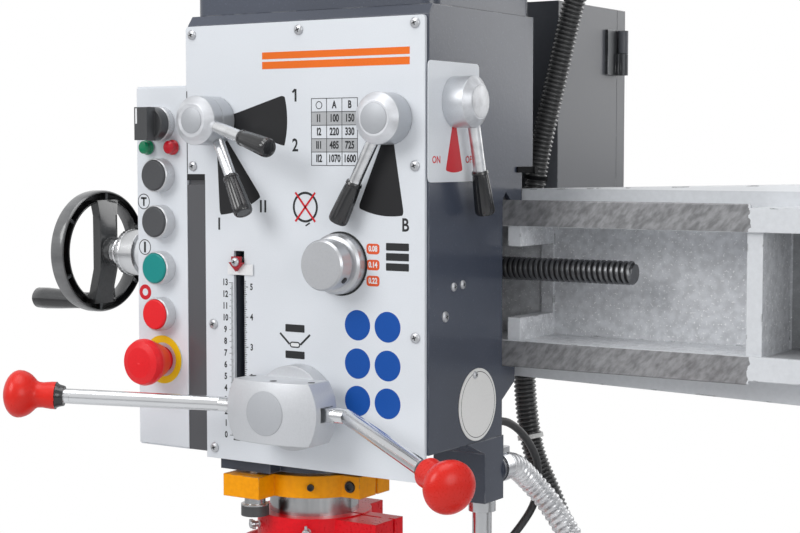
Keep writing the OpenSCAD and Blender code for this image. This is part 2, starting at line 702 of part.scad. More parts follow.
// Quill with its rack, collar, depth rod and guard ring
module rack_tooth() {
    half_tip = tooth_pitch / 4 - tooth_addendum * tan(pressure) - tooth_slack / 2;
    half_root = tooth_pitch / 4 + tooth_root * tan(pressure) - tooth_slack / 2;
    polygon([[-tooth_root - 1, -half_root], [-tooth_root, -half_root], [tooth_addendum, -half_tip],
        [tooth_addendum, half_tip], [-tooth_root, half_root], [-tooth_root - 1, half_root]]);
}
module quill() color("#c4c7cb") at_head() {
    difference() {
        rod_z(spindle_x, spindle_y, quill_low, quill_top, quill_r);
        rod_z(spindle_x, spindle_y, quill_low - 1, quill_top + 1, 21);
        for (z = [quill_low - 1, quill_top - 20]) rod_z(spindle_x, spindle_y, z, z + 21, bearing_r);
        block(rack_x - tooth_root, spindle_x + quill_r + 1, spindle_y - 34, spindle_y + 34, rack_low,
            rack_low + rack_teeth * tooth_pitch);
    }
    for (i = [0 : rack_teeth - 1])
        translate([rack_x, spindle_y + 20, feed_z + (i - 3) * tooth_pitch]) rotate([90, 0, 0])
            linear_extrude(40) rack_tooth();
}
module quill_bearings() color("#9a9ea3") at_head() for (z = [quill_low, quill_top - 20])
    ring_z(spindle_x, spindle_y, z + 1, z + 19, bearing_r, 18.9);
module depth_collar() color("#e39a17") at_head() difference() {
    union() {
        rod_z(spindle_x, spindle_y, collar_low, collar_top, collar_d / 2);
        block(-204, -166, 2, 60, collar_low, collar_top);
        block(-128, -96, 50, 96, collar_low, collar_top);
    }
    rod_z(spindle_x, spindle_y, collar_low - 1, collar_top + 1, quill_r);
    block(spindle_x + 30, -90, 74.5, 77.5, collar_low - 1, collar_top + 1);
    rod_z(slot_x, depth_y, collar_low - 1, collar_top + 1, 5);
    rod_y(-106, 49, 57, -22.5, 5);
}
// Depth rod with its thumb nut, and the pointer on a shank through the plate's slot
module depth_rod() color("#7c8086") at_head() {
    rod_z(slot_x, depth_y, -41, 176, 5);
    rod_z(slot_x, depth_y, -41, collar_low, 9);
    rod_z(slot_x, depth_y, -49.6, -39.5, 12);
    block(slot_x - 3.5, slot_x + 3.5, -2, depth_y, 165, 173);
    sheet_y(-5, -2) polygon([[slot_x - 4.5, 173.5], [slot_x + 4.5, 173.5], [slot_x + 4.5, 168.5],
        [slot_x + 7.5, 168.5], [slot_x, 161], [slot_x - 7.5, 168.5], [slot_x - 4.5, 168.5]]);
}
module guard_ring() color("#cf2229") at_head() {
    difference() {
        union() {
            rod_z(spindle_x, spindle_y, -72, -50, 50);
            block(spindle_x + 40, -77, 46, spindle_y + 14, -72, -51);
            block(-168, -132, spindle_y + 40, spindle_y + 66, -70, -52);
        }
        rod_z(spindle_x, spindle_y, -75, -49, quill_r);
        rod_z(-86, spindle_y, -75, -49, 4 + run);
        block(spindle_x + 30, -60, spindle_y - 1.5, spindle_y + 1.5, -75, -49);
    }
}
module chip_guard() color("#cf2229", 0.8) at_head() {
    wall_r = 66;
    difference() {
        rod_z(spindle_x, spindle_y, -196, -78, wall_r);
        rod_z(spindle_x, spindle_y, -200, -70, wall_r - 3);
        block(spindle_x - 80, spindle_x + 80, spindle_y + 10, spindle_y + 90, -200, -70);
    }
    rod_z(-86, spindle_y, -78, -51, 4);
    rod_z(-86, spindle_y, -92, -76, 9);
    block(-98, -86, spindle_y - 5, spindle_y + 5, -92, -78);
}
module spindle() color("#aeb2b7") at_head() difference() {
    union() {
        rod_z(spindle_x, spindle_y, -104, 330, 18.9);
        rod_z(spindle_x, spindle_y, -112, -78, 25);
        for (i = [0 : 5]) translate([spindle_x, spindle_y, 210]) rotate(60 * i)
            block(0, 21.5, -3.5, 3.5, 0, 118);
    }
    translate([spindle_x, spindle_y, -113]) cylinder(r1 = 15.7, r2 = 12.9, h = 109);
    block(spindle_x - 30, spindle_x + 30, spindle_y - 4, spindle_y + 4, -30, -2);
}

// Feed hub, its pinion and the two bent arms with their knobs
module feed_hub() color("#cfd2d7") at_head() {
    difference() {
        union() {
            rod_y(feed_x, hub_back - 2, -0.5, feed_z, drum_r);
            intersection() {
                rod_y(feed_x, hub_front, hub_back, feed_z, hub_r);
                translate([feed_x, dome_y, feed_z]) sphere(dome_r);
                block(feed_x - 60, feed_x + 60, hub_front - 1, hub_back + 1,
                    feed_z - hub_h / 2, feed_z + hub_h / 2);
            }
        }
        for (side = [-1, 1]) translate([feed_x + side * 31, arm_y, feed_z])
            cube([34, tongue_t + 7, tongue_h + 0.8], center = true);
        rod_y(feed_x, -12, 0, feed_z, 11);
    }
    for (side = [-1, 1])
        rod_z(feed_x + side * pivot_x, arm_y, feed_z - tongue_h / 2 - 4, feed_z + tongue_h / 2 + 4, pin_r);
}
function involute(base_r, a) = base_r * [cos(a) + a * PI / 180 * sin(a), sin(a) - a * PI / 180 * cos(a)];
function turn2(p, a) = [p[0] * cos(a) - p[1] * sin(a), p[0] * sin(a) + p[1] * cos(a)];
module pinion_tooth() {
    base_r = pinion_r * cos(pressure);
    tip_r = pinion_r + tooth_addendum;
    steps = 4;
    a_tip = sqrt(pow(tip_r / base_r, 2) - 1) * 180 / PI;
    a_pitch = tan(pressure) * 180 / PI;
    half = 90 / pinion_teeth - tooth_slack * 28 / pinion_r;
    shift = half + a_pitch - pressure;
    flank = [for (i = [0 : steps]) turn2(involute(base_r, a_tip * i / steps), -shift)];
    back = [for (i = [steps : -1 : 0]) [flank[i][0], -flank[i][1]]];
    polygon(concat([[7.5, -turn2([7.5, 0], shift)[1]]], flank, back, [[7.5, turn2([7.5, 0], shift)[1]]]));
}
module pinion_shaft() color("#9a9ea3") at_head() {
    rod_y(feed_x, -12, 40, feed_z, 11);
    rod_y(feed_x, 40, 104, feed_z, pinion_r - tooth_root - 0.3);
    for (i = [0 : pinion_teeth - 1]) translate([feed_x, spindle_y + 28, feed_z]) rotate([90, 0, 0])
        rotate(360 * (i + 0.5) / pinion_teeth) linear_extrude(54) pinion_tooth();
}
function arm_way(side, roll) =
    [side * cos(feed_lean), -sin(feed_lean) * cos(roll), sin(feed_lean) * sin(roll)];
module feed_arm(side, roll) at_head() {
    bend = [feed_x + side * arm_bend, arm_y, feed_z];
    way = arm_way(side, roll);
    difference() {
        block(feed_x + min(side * 18, side * 54), feed_x + max(side * 18, side * 54),
            arm_y - tongue_t / 2, arm_y + tongue_t / 2, feed_z - tongue_h / 2, feed_z + tongue_h / 2);
        rod_z(feed_x + side * pivot_x, arm_y, feed_z - 20, feed_z + 20, pin_r + run);
    }
    strut([feed_x + side * 48, arm_y, feed_z], bend, arm_d / 2);
    translate(bend) sphere(arm_d / 2);
    strut(bend, bend + way * (feed_reach - 36), arm_d / 2);
}
module feed_arm_left() color("#c4c7cb") feed_arm(-1, roll_left);
module feed_arm_right() color("#c4c7cb") feed_arm(1, roll_right);
module feed_knob(side, roll) at_head() {
    way = arm_way(side, roll);
    middle = [feed_x + side * arm_bend, arm_y, feed_z] + way * feed_reach;
    translate(middle) aim(way) {
        sphere(knob_d / 2);
        translate([0, 0, -34]) cylinder(r1 = 12.5, r2 = 14, h = 18);
        translate([0, 0, -16]) cylinder(r1 = 14, r2 = 18.5, h = 10);
        translate([0, 0, -36]) cylinder(r = 13, h = 2);
    }
}
module feed_knob_left() color("#dd3b33") feed_knob(-1, roll_left);
module feed_knob_right() color("#dd3b33") feed_knob(1, roll_right);

// Selector hubs with their levers and grips
// A lever hangs at an angle from straight down, towards +X, and leans to the operator
function lever_way(angle, lean) = [sin(angle) * cos(lean), -sin(lean), -cos(angle) * cos(lean)];
module lever_rod(root, way) {
    strut(root + way * 8, root + way * (lever_l - grip_l + 6), 5);
}
module lever_grip(root, way) {
    translate(root + way * (lever_l - grip_l)) aim(way) {
        difference() {
            cylinder(r1 = 7.2, r2 = 10, h = grip_l - 3);
            translate([0, 0, -1]) cylinder(r = 5, h = 7);
        }
        translate([0, 0, grip_l - 3]) cylinder(r1 = 10, r2 = 8, h = 3);
    }
}
range_root = [selector_left, -6.2, selector_z];
gear_root = [selector_left, -20, selector_z];
speed_root = [selector_right, -11, selector_z];
range_way = lever_way(33, 12);
gear_way = lever_way(75, 13);
speed_way = lever_way(-28, 0);
feed_way = [0, sin(15), -cos(15)];
feed_root = [casting_right + 15, side_y, side_z];
module range_lever() color("#cfd2d7") at_head() difference() {
    union() {
        turned_y(selector_left, 0, selector_z,
            [[6.1, 0.5], [selector_r, 0.5], [selector_r, 15.4], [6.1, 15.4]]);
        lever_rod(range_root, range_way);
        turned_y(selector_left, 28, selector_z, [[6.1, 0], [8, 0], [8, 30], [6.1, 30]]);
    }
    rod_y(selector_left, -16, 40, selector_z, 6.1);
}
module gear_lever() color("#cfd2d7") at_head() {
    turned_y(selector_left, 0, selector_z,
        [[0, 15.8], [selector_r, 15.8], [selector_r, 27], [14, 32], [0, 32]]);
    rod_y(selector_left, -17, 30, selector_z, 6);
    lever_rod(gear_root, gear_way);
}
module speed_lever() color("#cfd2d7") at_head() {
    turned_y(selector_right, 0, selector_z,
        [[0, 0.5], [selector_r, 0.5], [selector_r, 19], [14, 24], [0, 24]]);
    rod_y(selector_right, -1, 30, selector_z, 8);
    lever_rod(speed_root, speed_way);
}
module feed_lever() color("#cfd2d7") at_head() {
    translate([casting_right, side_y, side_z]) rotate([0, 90, 0]) rotate_extrude()
        polygon([[0, 0.9], [selector_r, 0.9], [selector_r, 19], [14, 24], [0, 24]]);
    rod_x(casting_right - 30, casting_right + 2, side_y, side_z, 8);
    lever_rod(feed_root, feed_way);
}
module range_grip() color("#1c1d1f") at_head() lever_grip(range_root, range_way);
module gear_grip() color("#1c1d1f") at_head() lever_grip(gear_root, gear_way);
module speed_grip() color("#1c1d1f") at_head() lever_grip(speed_root, speed_way);
module feed_grip() color("#1c1d1f") at_head() lever_grip(feed_root, feed_way);
module feed_dial() color("#c9ccd1") at_head() {
    turned_y(-80, 0, 171, [[0, 0.5], [24.5, 0.5], [24.5, 8], [22.5, 10], [18.5, 11], [18.5, 13],
        [20.5, 14], [20.5, 26], [19, 28], [0, 28]]);
    rod_y(-80, -1, 40, 171, 8);
}

// Traverse screw, handwheel and crank
module traverse_screw() color("#3f4245") at_head() {
    rod_x(wheel_x + 2, 112, screw_y, screw_z, screw_d / 2);
    difference() {
        union() {
            rod_x(wheel_x + 25, arm_left - 13, screw_y, screw_z, 22.5);
            rod_x(wheel_x + 25, wheel_x + 29, screw_y, screw_z, 23.5);
        }
        rod_x(wheel_x + 24, arm_left - 12, screw_y, screw_z, screw_d / 2);
    }
}
module handwheel() color("#232527") at_head() translate([wheel_x, screw_y, screw_z]) rotate([0, 90, 0]) {
    rim_r = wheel_d / 2;
    webs = 7;
    difference() {
        rotate_extrude() translate([rim_r - 9, -9]) rounded(0, 9, 0, 18, 3);
        rotate_extrude() translate([rim_r - 7.3, -1]) square([5.4, 11]);
    }
    for (i = [0 : webs - 1]) rotate(360 * (i + 0.5) / webs)
        translate([rim_r - 7.5, -1, -1.5]) cube([6, 2, 8]);
    difference() {
        union() {
            translate([0, 0, -1]) cylinder(r = 15, h = 26);
            for (a = [0, 180]) rotate(a) hull() {
                translate([rim_r - 9.5, -12, -2]) cube([2, 24, 10]);
                translate([8, -11, 0]) cube([3, 22, 10]);
            }
        }
        translate([0, 0, -2]) cylinder(r = screw_d / 2, h = 28);
    }
    translate([crank_r, 0, -85]) cylinder(r = 4, h = 86);
}
module crank_grip() color("#232527") at_head() translate([wheel_x, screw_y, screw_z]) rotate([0, 90, 0])
    translate([crank_r, 0, -87]) difference() {
        rotate_extrude() polygon([[0, 0], [7.5, 0], [9.5, 2], [10.9, 18], [10.4, 40], [8.5, 76], [0, 76]]);
        translate([0, 0, 1.5]) cylinder(r = 4 + run, h = 80);
    }

base_plate();
column_foot();
column();
column_cap();
lift_motor();
lift_screw();
arm();
lift_nut();
screw_bracket();
clamp_lever();
head_casting();
gib_strip();
traverse_nut();
top_cover();
front_plate();
control_box();
control_bezels();
pilot_lamps();
spindle_motor();
terminal_box();
cabinet();
cabinet_hinges();
cabinet_door();
coolant_block();
coolant_pipe();
cord_fittings();
conduit();
coolant_hose();
switch_cable();
quill();
depth_collar();
depth_rod();
guard_ring();
quill_bearings();
spindle();
chip_guard();
feed_hub();
pinion_shaft();
feed_arm_left();
feed_arm_right();
feed_knob_left();
feed_knob_right();
range_lever();
gear_lever();
speed_lever();
feed_lever();
range_grip();
gear_grip();
speed_grip();
feed_grip();
handwheel();
traverse_screw();
crank_grip();
feed_dial();
mode_switch();
tapping_button();
jog_button();
start_button();
stop_button();
estop_button();
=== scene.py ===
"""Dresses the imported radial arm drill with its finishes, printed marks, cords, grips and screws."""
import math

import bpy
from bpy.props import FloatProperty, FloatVectorProperty, PointerProperty
from mathutils import Matrix, Vector


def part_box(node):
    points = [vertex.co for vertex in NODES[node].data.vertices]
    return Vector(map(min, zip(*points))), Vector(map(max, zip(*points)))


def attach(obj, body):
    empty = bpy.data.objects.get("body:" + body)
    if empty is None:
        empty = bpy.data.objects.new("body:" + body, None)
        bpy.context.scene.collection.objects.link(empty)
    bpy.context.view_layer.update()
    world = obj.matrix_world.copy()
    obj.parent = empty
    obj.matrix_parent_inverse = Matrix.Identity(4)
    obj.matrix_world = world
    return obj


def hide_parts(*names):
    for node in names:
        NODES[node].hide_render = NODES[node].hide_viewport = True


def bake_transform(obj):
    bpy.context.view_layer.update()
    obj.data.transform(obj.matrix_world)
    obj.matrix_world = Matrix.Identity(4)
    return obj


bl_info = {
    "name": "Radial Arm Drill",
    "version": (1, 0, 0),
    "blender": (4, 5, 0),
    "location": "View3D > Sidebar > Drill",
    "description": "Dresses the packed radial arm drill around its fixed frame",
    "category": "Object",
}

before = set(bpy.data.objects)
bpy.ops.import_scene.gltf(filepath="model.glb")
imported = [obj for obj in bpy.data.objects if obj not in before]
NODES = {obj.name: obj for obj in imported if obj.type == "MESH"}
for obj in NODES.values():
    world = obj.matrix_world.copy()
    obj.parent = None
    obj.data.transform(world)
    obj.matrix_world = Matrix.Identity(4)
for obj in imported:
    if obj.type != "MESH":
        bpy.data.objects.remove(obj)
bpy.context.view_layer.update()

FINISHES = {}

MM = 0.001
UP, FORWARD, RIGHT = Vector((0, 0, 1)), Vector((0, -1, 0)), Vector((1, 0, 0))
# Turns that lay a flat piece against the front plate, or against the head's right side.
FRONT = Matrix(((1, 0, 0), (0, 0, -1), (0, 1, 0)))
SIDE = Matrix(((0, 0, 1), (1, 0, 0), (0, 1, 0)))
# The lower right corner of the front plate at rest, where the head's own frame starts.
HEAD = Vector((-0.480, -0.160, 0.900))


def at(x, y, z):
    """A point of the head's frame, in millimetres, as a point of the shared frame in metres."""
    return HEAD + Vector((x, y, z)) * MM


def on_plate(x, z, lift=0.0):
    """A place on the front plate's face, raised by lift, and the turn that lays a piece flat on it."""
    return at(x, -lift, z), FRONT


def on_screw(x):
    """A point on the traverse screw's axis."""
    return at(x, 145, 162)


# Axes of the selector hubs, the handwheel with its screw, and the lift screw's lower end.
LEFT_HUB, RIGHT_HUB, SIDE_HUB = at(-208, 0, 287), at(-32, 0, 287), at(0, 41, 300.5)
WHEEL = on_screw(-478)
LIFT_FOOT = Vector((0, 0.168, 0.540))
# Radius past which a selector is rod and no longer hub.
HUB_REACH = 0.0211
# Heights on the front plate of the three feed chips and of the depth scale's zero.
CHIP_ROWS = (183.8, 171.0, 158.2)
SCALE_ZERO = 21.0
# Height of a printed figure as a share of its font size.
FIGURE_SHARE = 0.70
INCH = 25.4

# The photograph's view: focal length in millimetres, place in metres, dip and turn in degrees.
LENS, VIEW_FROM, VIEW_DIP, VIEW_TURN = 75.375, (0.2118, -1.2662, 1.1586), 3.816, 32.87

# Middle lines of the cords in the head's frame, in millimetres, as in the part's source.
CONDUIT_ROUTE = (
    (66, 143, 520), (66, 164, 520), (64, 188, 510), (57, 206, 488), (44, 214, 455), (19, 217, 395),
    (2, 217, 330), (-17, 217, 250), (-25, 217, 170), (-29, 217, 90), (-28, 217, 40), (-20, 217, -6),
    (-2, 217, -45), (18, 216, -84), (42, 214, -124), (76, 211, -160), (118, 207, -184), (166, 202, -194),
    (214, 196, -188), (256, 190, -168), (290, 184, -136), (312, 181, -96), (324, 179, -52), (329, 178, -8),
    (330, 178, 20), (330, 178, 44.3))
HOSE_ROUTE = (
    (-8, 124.4, -8), (-8, 146, -8), (-7, 164, -14), (-2, 180, -28), (12, 188, -47), (31, 190, -74),
    (46, 188, -100), (62, 187, -130), (84, 185, -162), (114, 181, -191), (152, 176, -212), (196, 168, -222),
    (242, 157, -218), (284, 146, -202), (320, 136, -172), (348, 128, -134), (366, 123, -92), (373, 121, -54),
    (375, 120, -30), (375, 120, -8.6))
CABLE_ROUTE = (
    (-14, 128.5, 30), (-13, 140, 30), (-10, 153, 27), (-7, 168, 18), (-5, 184, 3), (-4, 195, -14),
    (-6, 200, -34), (-11, 198, -56), (-26, 189, -82), (-46, 176, -108), (-71, 160, -126), (-100, 146, -130),
    (-126, 138, -114), (-143, 134, -92), (-150, 133, -79), (-150, 133, -71))


def tint(name, description, colour):
    """One colour that a user may change."""
    return FloatVectorProperty(
        name=name, description=description, default=colour, subtype="COLOR", size=3, min=0.0, max=1.0)


def length(name, description, millimetres):
    """One size that a user may change."""
    return FloatProperty(
        name=name, description=description, default=millimetres * MM, min=0.0, unit="LENGTH", precision=4)


class DrillColours(bpy.types.PropertyGroup):
    """Colours of the drill's finishes."""
    enamel: tint("Enamel", "Dark enamel on the head, cap, foot and base", (0.053, 0.063, 0.090))
    motor: tint("Motor paint", "Paint on the motors", (0.105, 0.118, 0.138))
    cabinet: tint("Cabinet paint", "Paint on the electrical cabinet", (0.115, 0.121, 0.135))
    panel: tint("Panel", "Pale paint on the front plate and control box", (0.715, 0.745, 0.785))
    arm: tint("Arm paint", "Pale paint on the arm", (0.66, 0.68, 0.705))
    channel: tint("Channel paint", "Silver paint inside the arm's channel", (0.68, 0.695, 0.72))
    rail: tint("Rail", "Machined faces of the arm's rails", (0.27, 0.272, 0.28))
    yellow: tint("Collar", "Paint on the depth collar", (0.98, 0.345, 0.001))
    red: tint("Red paint", "Paint on the guard", (0.80, 0.005, 0.014))
    knob: tint("Knobs", "Red plastic of the feed knobs", (0.70, 0.018, 0.010))
    orange: tint("Orange print", "Stripes and feed chips on the front plate", (0.82, 0.155, 0.010))
    blue: tint("Blue discs", "Plain discs on the front plate", (0.004, 0.075, 0.36))
    ink: tint("Ink", "Dark printed marks", (0.025, 0.026, 0.028))


class DrillSizes(bpy.types.PropertyGroup):
    """Sizes of the pieces that the scene adds."""
    screw_head: length("Plate screw", "Head radius of the front plate's screws", 4.3)
    print_rise: length("Print rise", "Thickness of printed marks and stickers", 0.12)
    conduit: length("Conduit", "Outside diameter of the corrugated conduit", 20.5)
    conduit_pitch: length("Conduit rib", "Spacing of the conduit's ribs", 3.9)
    hose: length("Hose", "Outside diameter of the coolant hose", 22.0)
    hose_pitch: length("Hose rib", "Spacing of the hose's ribs", 5.6)
    cable: length("Cable", "Diameter of the thin switch cable", 7.0)
    thread_lead: length("Screw lead", "Travel of the head for one turn of the traverse screw", 5.0)
    lift_lead: length("Lift lead", "Travel of the arm for one turn of the lift screw", 6.0)


def colour(name):
    """A colour from the scene's drill settings."""
    return tuple(getattr(bpy.context.scene.drill_colours, name))


def size(name):
    """A size from the scene's drill settings, in metres."""
    return getattr(bpy.context.scene.drill_sizes, name)


# ---------------------------------------------------------------- shader values


class Value:
    """A shader socket that Python arithmetic turns into Math nodes."""

    def __init__(self, nodes, socket):
        self.nodes = nodes
        self.socket = socket

    def _math(self, operation, first, second):
        return self.nodes.node("ShaderNodeMath", {"operation": operation}, {0: first, 1: second})

    def __add__(self, other):
        return self._math("ADD", self, other)

    def __radd__(self, other):
        return self._math("ADD", other, self)

    def __sub__(self, other):
        return self._math("SUBTRACT", self, other)

    def __rsub__(self, other):
        return self._math("SUBTRACT", other, self)

    def __mul__(self, other):
        return self._math("MULTIPLY", self, other)

    def __rmul__(self, other):
        return self._math("MULTIPLY", other, self)

    def __lt__(self, other):
        return self._math("LESS_THAN", self, other)

    def __gt__(self, other):
        return self._math("GREATER_THAN", self, other)

    def __abs__(self):
        return self._math("ABSOLUTE", self, 0.0)

    def __pow__(self, other):
        return self._math("POWER", self, other)


class Nodes:
    """A node tree, with one way to add any node and to fill its sockets."""

    def __init__(self, tree):
        self.tree = tree

    def put(self, socket, value):
        """Links a value to a socket, or sets a constant on it."""
        if isinstance(value, Value):
            self.tree.links.new(value.socket, socket)
        elif socket.type == "RGBA" and len(value) == 3:
            socket.default_value = (*value, 1.0)
        else:
            socket.default_value = value

    def node(self, kind, settings=None, inputs=None, out=0):
        """Adds any node with its settings and its sockets' values or links.

        out names the output that it gives, and None stands for all of them.
        """
        made = self.tree.nodes.new(kind)
        for key, value in (settings or {}).items():
            setattr(made, key, value)
        for key, value in (inputs or {}).items():
            self.put(made.inputs[key], value)
        if out is None:
            return tuple(Value(self, socket) for socket in made.outputs)
        return Value(self, made.outputs[out])


class Finish(Nodes):
    """One procedural material, read in the piece's own metres."""

    def __init__(self, name):
        self.material = bpy.data.materials.new(name)
        self.material.use_nodes = True
        super().__init__(self.material.node_tree)
        self.shader = self.tree.nodes["Principled BSDF"]
        FINISHES[name] = self.material

    def set(self, **inputs):
        """Sets or links the shader's own sockets, with _ for a space in a name."""
        for key, value in inputs.items():
            self.put(self.shader.inputs[key.replace("_", " ")], value)

    def coords(self):
        """Object coordinates, in metres."""
        return self.node("ShaderNodeTexCoord", out="Object")

    def axes(self):
        """X, Y and Z of the object coordinates."""
        return self.node("ShaderNodeSeparateXYZ", None, {0: self.coords()}, out=None)

    def vector(self, x, y, z):
        """Three values as one vector."""
        return self.node("ShaderNodeCombineXYZ", None, {0: x, 1: y, 2: z})

    def noise(self, scale, detail=3.0, stretch=None, place=None):
        """Noise from 0 to 1, finer as scale goes up, drawn out where stretch is small."""
        place = self.coords() if place is None else place
        if stretch:
            place = self.node("ShaderNodeVectorMath", {"operation": "MULTIPLY"}, {0: place, 1: stretch})
        return self.node("ShaderNodeTexNoise", None, {"Vector": place, "Scale": scale, "Detail": detail})

    def ramp(self, value, low, high):
        """0 below low, 1 above high, smooth between."""
        return self.node("ShaderNodeMapRange", {"interpolation_type": "SMOOTHSTEP"},
                         {"Value": value, "From Min": low, "From Max": high})

    def mix(self, share, first, second):
        """A colour between first and second."""
        return self.node("ShaderNodeMix", {"data_type": "RGBA"}, {0: share, 6: first, 7: second}, out=2)

    def edges(self, radius):
        """1 along outside edges, for worn paint."""
        soft = self.node("ShaderNodeBevel", {"samples": 6}, {"Radius": radius})
        flat = self.node("ShaderNodeNewGeometry", out="Normal")
        same = self.node("ShaderNodeVectorMath", {"operation": "DOT_PRODUCT"}, {0: soft, 1: flat},
                         out="Value")
        return self.ramp(1.0 - same, 0.01, 0.12)

    def relief(self, height, depth, edge=0.0):
        """Raises the surface by height times depth, in metres, over softened edges."""
        inputs = {"Height": height, "Strength": 1.0, "Distance": depth}
        if edge:
            inputs["Normal"] = self.node("ShaderNodeBevel", {"samples": 4}, {"Radius": edge})
        self.set(Normal=self.node("ShaderNodeBump", None, inputs))


def scaled(rgb, share):
    """A colour scaled by share, kept within range."""
    return tuple(min(c * share, 1.0) for c in rgb)


def coat(name, rgb, rough, metal=0.0, grain=400, depth=0.00004, stretch=None, mottle=0.12, wear=None,
         edge=0.0006, gloss=0.0, second=None, specular=0.5):
    """A finish with grain, uneven colour, varied gloss, soft edges and, where asked, worn edges.

    second is a list of (mask of x, y and z, colour, roughness, metallic) laid over the base in order.
    """
    f = Finish(name)
    broad = f.noise(7.0, 4.0)
    fine = f.noise(grain, 3.0, stretch)
    patches = f.ramp(broad * 0.6 + fine * 0.4, 0.32, 0.68)
    tone = f.mix(patches, scaled(rgb, 1 - mottle), scaled(rgb, 1 + mottle))
    roughness = rough + (fine - 0.5) * 0.16 + (broad - 0.5) * 0.10
    metallic = None
    for mask_of, rgb2, rough2, metal2 in second or ():
        mask = mask_of(*f.axes())
        marks = f.noise(90, 5.0, (0.25, 1, 1))
        over = f.mix(f.ramp(marks, 0.3, 0.7), scaled(rgb2, 0.82), scaled(rgb2, 1.12))
        tone = f.mix(mask, tone, over)
        roughness = roughness + mask * (rough2 - roughness)
        if metal2 != metal:
            before = metal if metallic is None else metallic
            metallic = before + mask * (metal2 - before)
    if wear:
        rubbed = f.edges(0.0016) * f.ramp(f.noise(60, 4.0), 0.52, 0.66)
        tone = f.mix(rubbed, tone, wear)
        roughness = roughness - rubbed * 0.08
    f.set(Base_Color=tone, Roughness=roughness, Coat_Weight=gloss, Coat_Roughness=0.12,
          Specular_IOR_Level=specular, Metallic=metal if metallic is None else metallic)
    f.relief(fine, depth, edge)


def enamel_finish(name, rgb, second=None):
    """Glossy machine enamel: slight orange peel, pale specks that are partly painted glints, and edges
    rubbed bare.
    """
    f = Finish(name)
    peel = f.noise(380, 2.0)
    broad = f.noise(6.0, 4.0)
    tone = f.mix(f.ramp(broad, 0.3, 0.7), scaled(rgb, 0.88), scaled(rgb, 1.12))
    # Pale specks, partly painted glints of the enamel's sparkle.
    tone = f.mix(f.ramp(f.noise(700, 2.0), 0.64, 0.72) * 0.30, tone, scaled(rgb, 2.0))
    rubbed = f.edges(0.0016) * f.ramp(f.noise(45, 4.0), 0.46, 0.62)
    tone = f.mix(rubbed * 0.6, tone, (0.30, 0.31, 0.33))
    roughness = 0.24 + (broad - 0.5) * 0.12 + (peel - 0.5) * 0.06
    metallic = rubbed * 0.3
    for mask_of, rgb2, rough2, metal2 in second or ():
        mask = mask_of(*f.axes())
        tone = f.mix(mask, tone, rgb2)
        roughness = roughness + mask * (rough2 - roughness)
        metallic = metallic + mask * (metal2 - metallic)
    f.set(Base_Color=tone, Roughness=roughness, Metallic=metallic, Coat_Weight=0.3, Coat_Roughness=0.10)
    f.relief(peel, 0.00007, 0.0012)


def arm_finish(rgb, steel, silver):
    """Pale paint with chipped edges, a whiter beam top that is partly painted light, a silver channel with
    bright specks that are partly painted glints, painted shade at the channel's far end, and scuffed
    machined rails.
    """
    f = Finish("arm_paint")
    x, y, z = f.axes()
    broad, fine = f.noise(7.0, 4.0), f.noise(260, 3.0)
    ragged = (f.noise(110, 5.0) - 0.5) * 0.012
    tone = f.mix(f.ramp(broad * 0.6 + fine * 0.4, 0.32, 0.68), scaled(rgb, 0.94), scaled(rgb, 1.05))
    past_sleeve = x < -0.165
    # Whiter paint on the beam's top band, partly painted light that lifts the shade falling there.
    beam_paint_and_light = past_sleeve * (z > 1.13)
    tone = f.mix(beam_paint_and_light * 0.8, tone, (0.88, 0.89, 0.905))
    from_middle = abs(z - 1.051)
    inside = (y > -0.0354) * (y < 0.0262) * (from_middle < 0.0486) * past_sleeve
    lining = f.mix(f.ramp(f.noise(150, 5.0), 0.3, 0.7), scaled(silver, 0.86), scaled(silver, 1.10))
    # Pale specks in the silver paint, partly painted glints of its sparkle.
    lining = f.mix(f.ramp(f.noise(480, 1.0), 0.63, 0.68) * 0.9, lining, (0.95, 0.96, 0.97))
    # Painted shade: the channel's far end, past the rails, is painted darker for the shade in that recess.
    lining = f.mix((x > -0.249) * 0.6, lining, scaled(silver, 0.2))
    tone = f.mix(inside, tone, lining)
    rail = (x + ragged < -0.2605) * (y < -0.0235) * (from_middle > 0.0483)
    slant = f.noise(1.0, 5.0, place=f.vector((x + z) * 95, y * 90, (x - z) * 220))
    scuff = f.mix(f.ramp(slant * 0.7 + broad * 0.3, 0.3, 0.7), scaled(steel, 0.66), scaled(steel, 1.22))
    tone = f.mix(rail, tone, scuff)
    chips = f.edges(0.0026) * f.ramp(f.noise(75, 5.0), 0.57, 0.63)
    tone = f.mix(chips * (1.0 - rail) * 0.8, tone, (0.16, 0.165, 0.17))
    roughness = 0.42 + (fine - 0.5) * 0.14 + rail * ((slant - 0.5) * 0.3 - 0.04)
    f.set(Base_Color=tone, Roughness=roughness, Metallic=rail * 0.5, Coat_Weight=0.1, Coat_Roughness=0.2)
    f.relief(fine + slant * rail + f.noise(120, 3.0) * inside * 8.0, 0.00009, 0.0012)


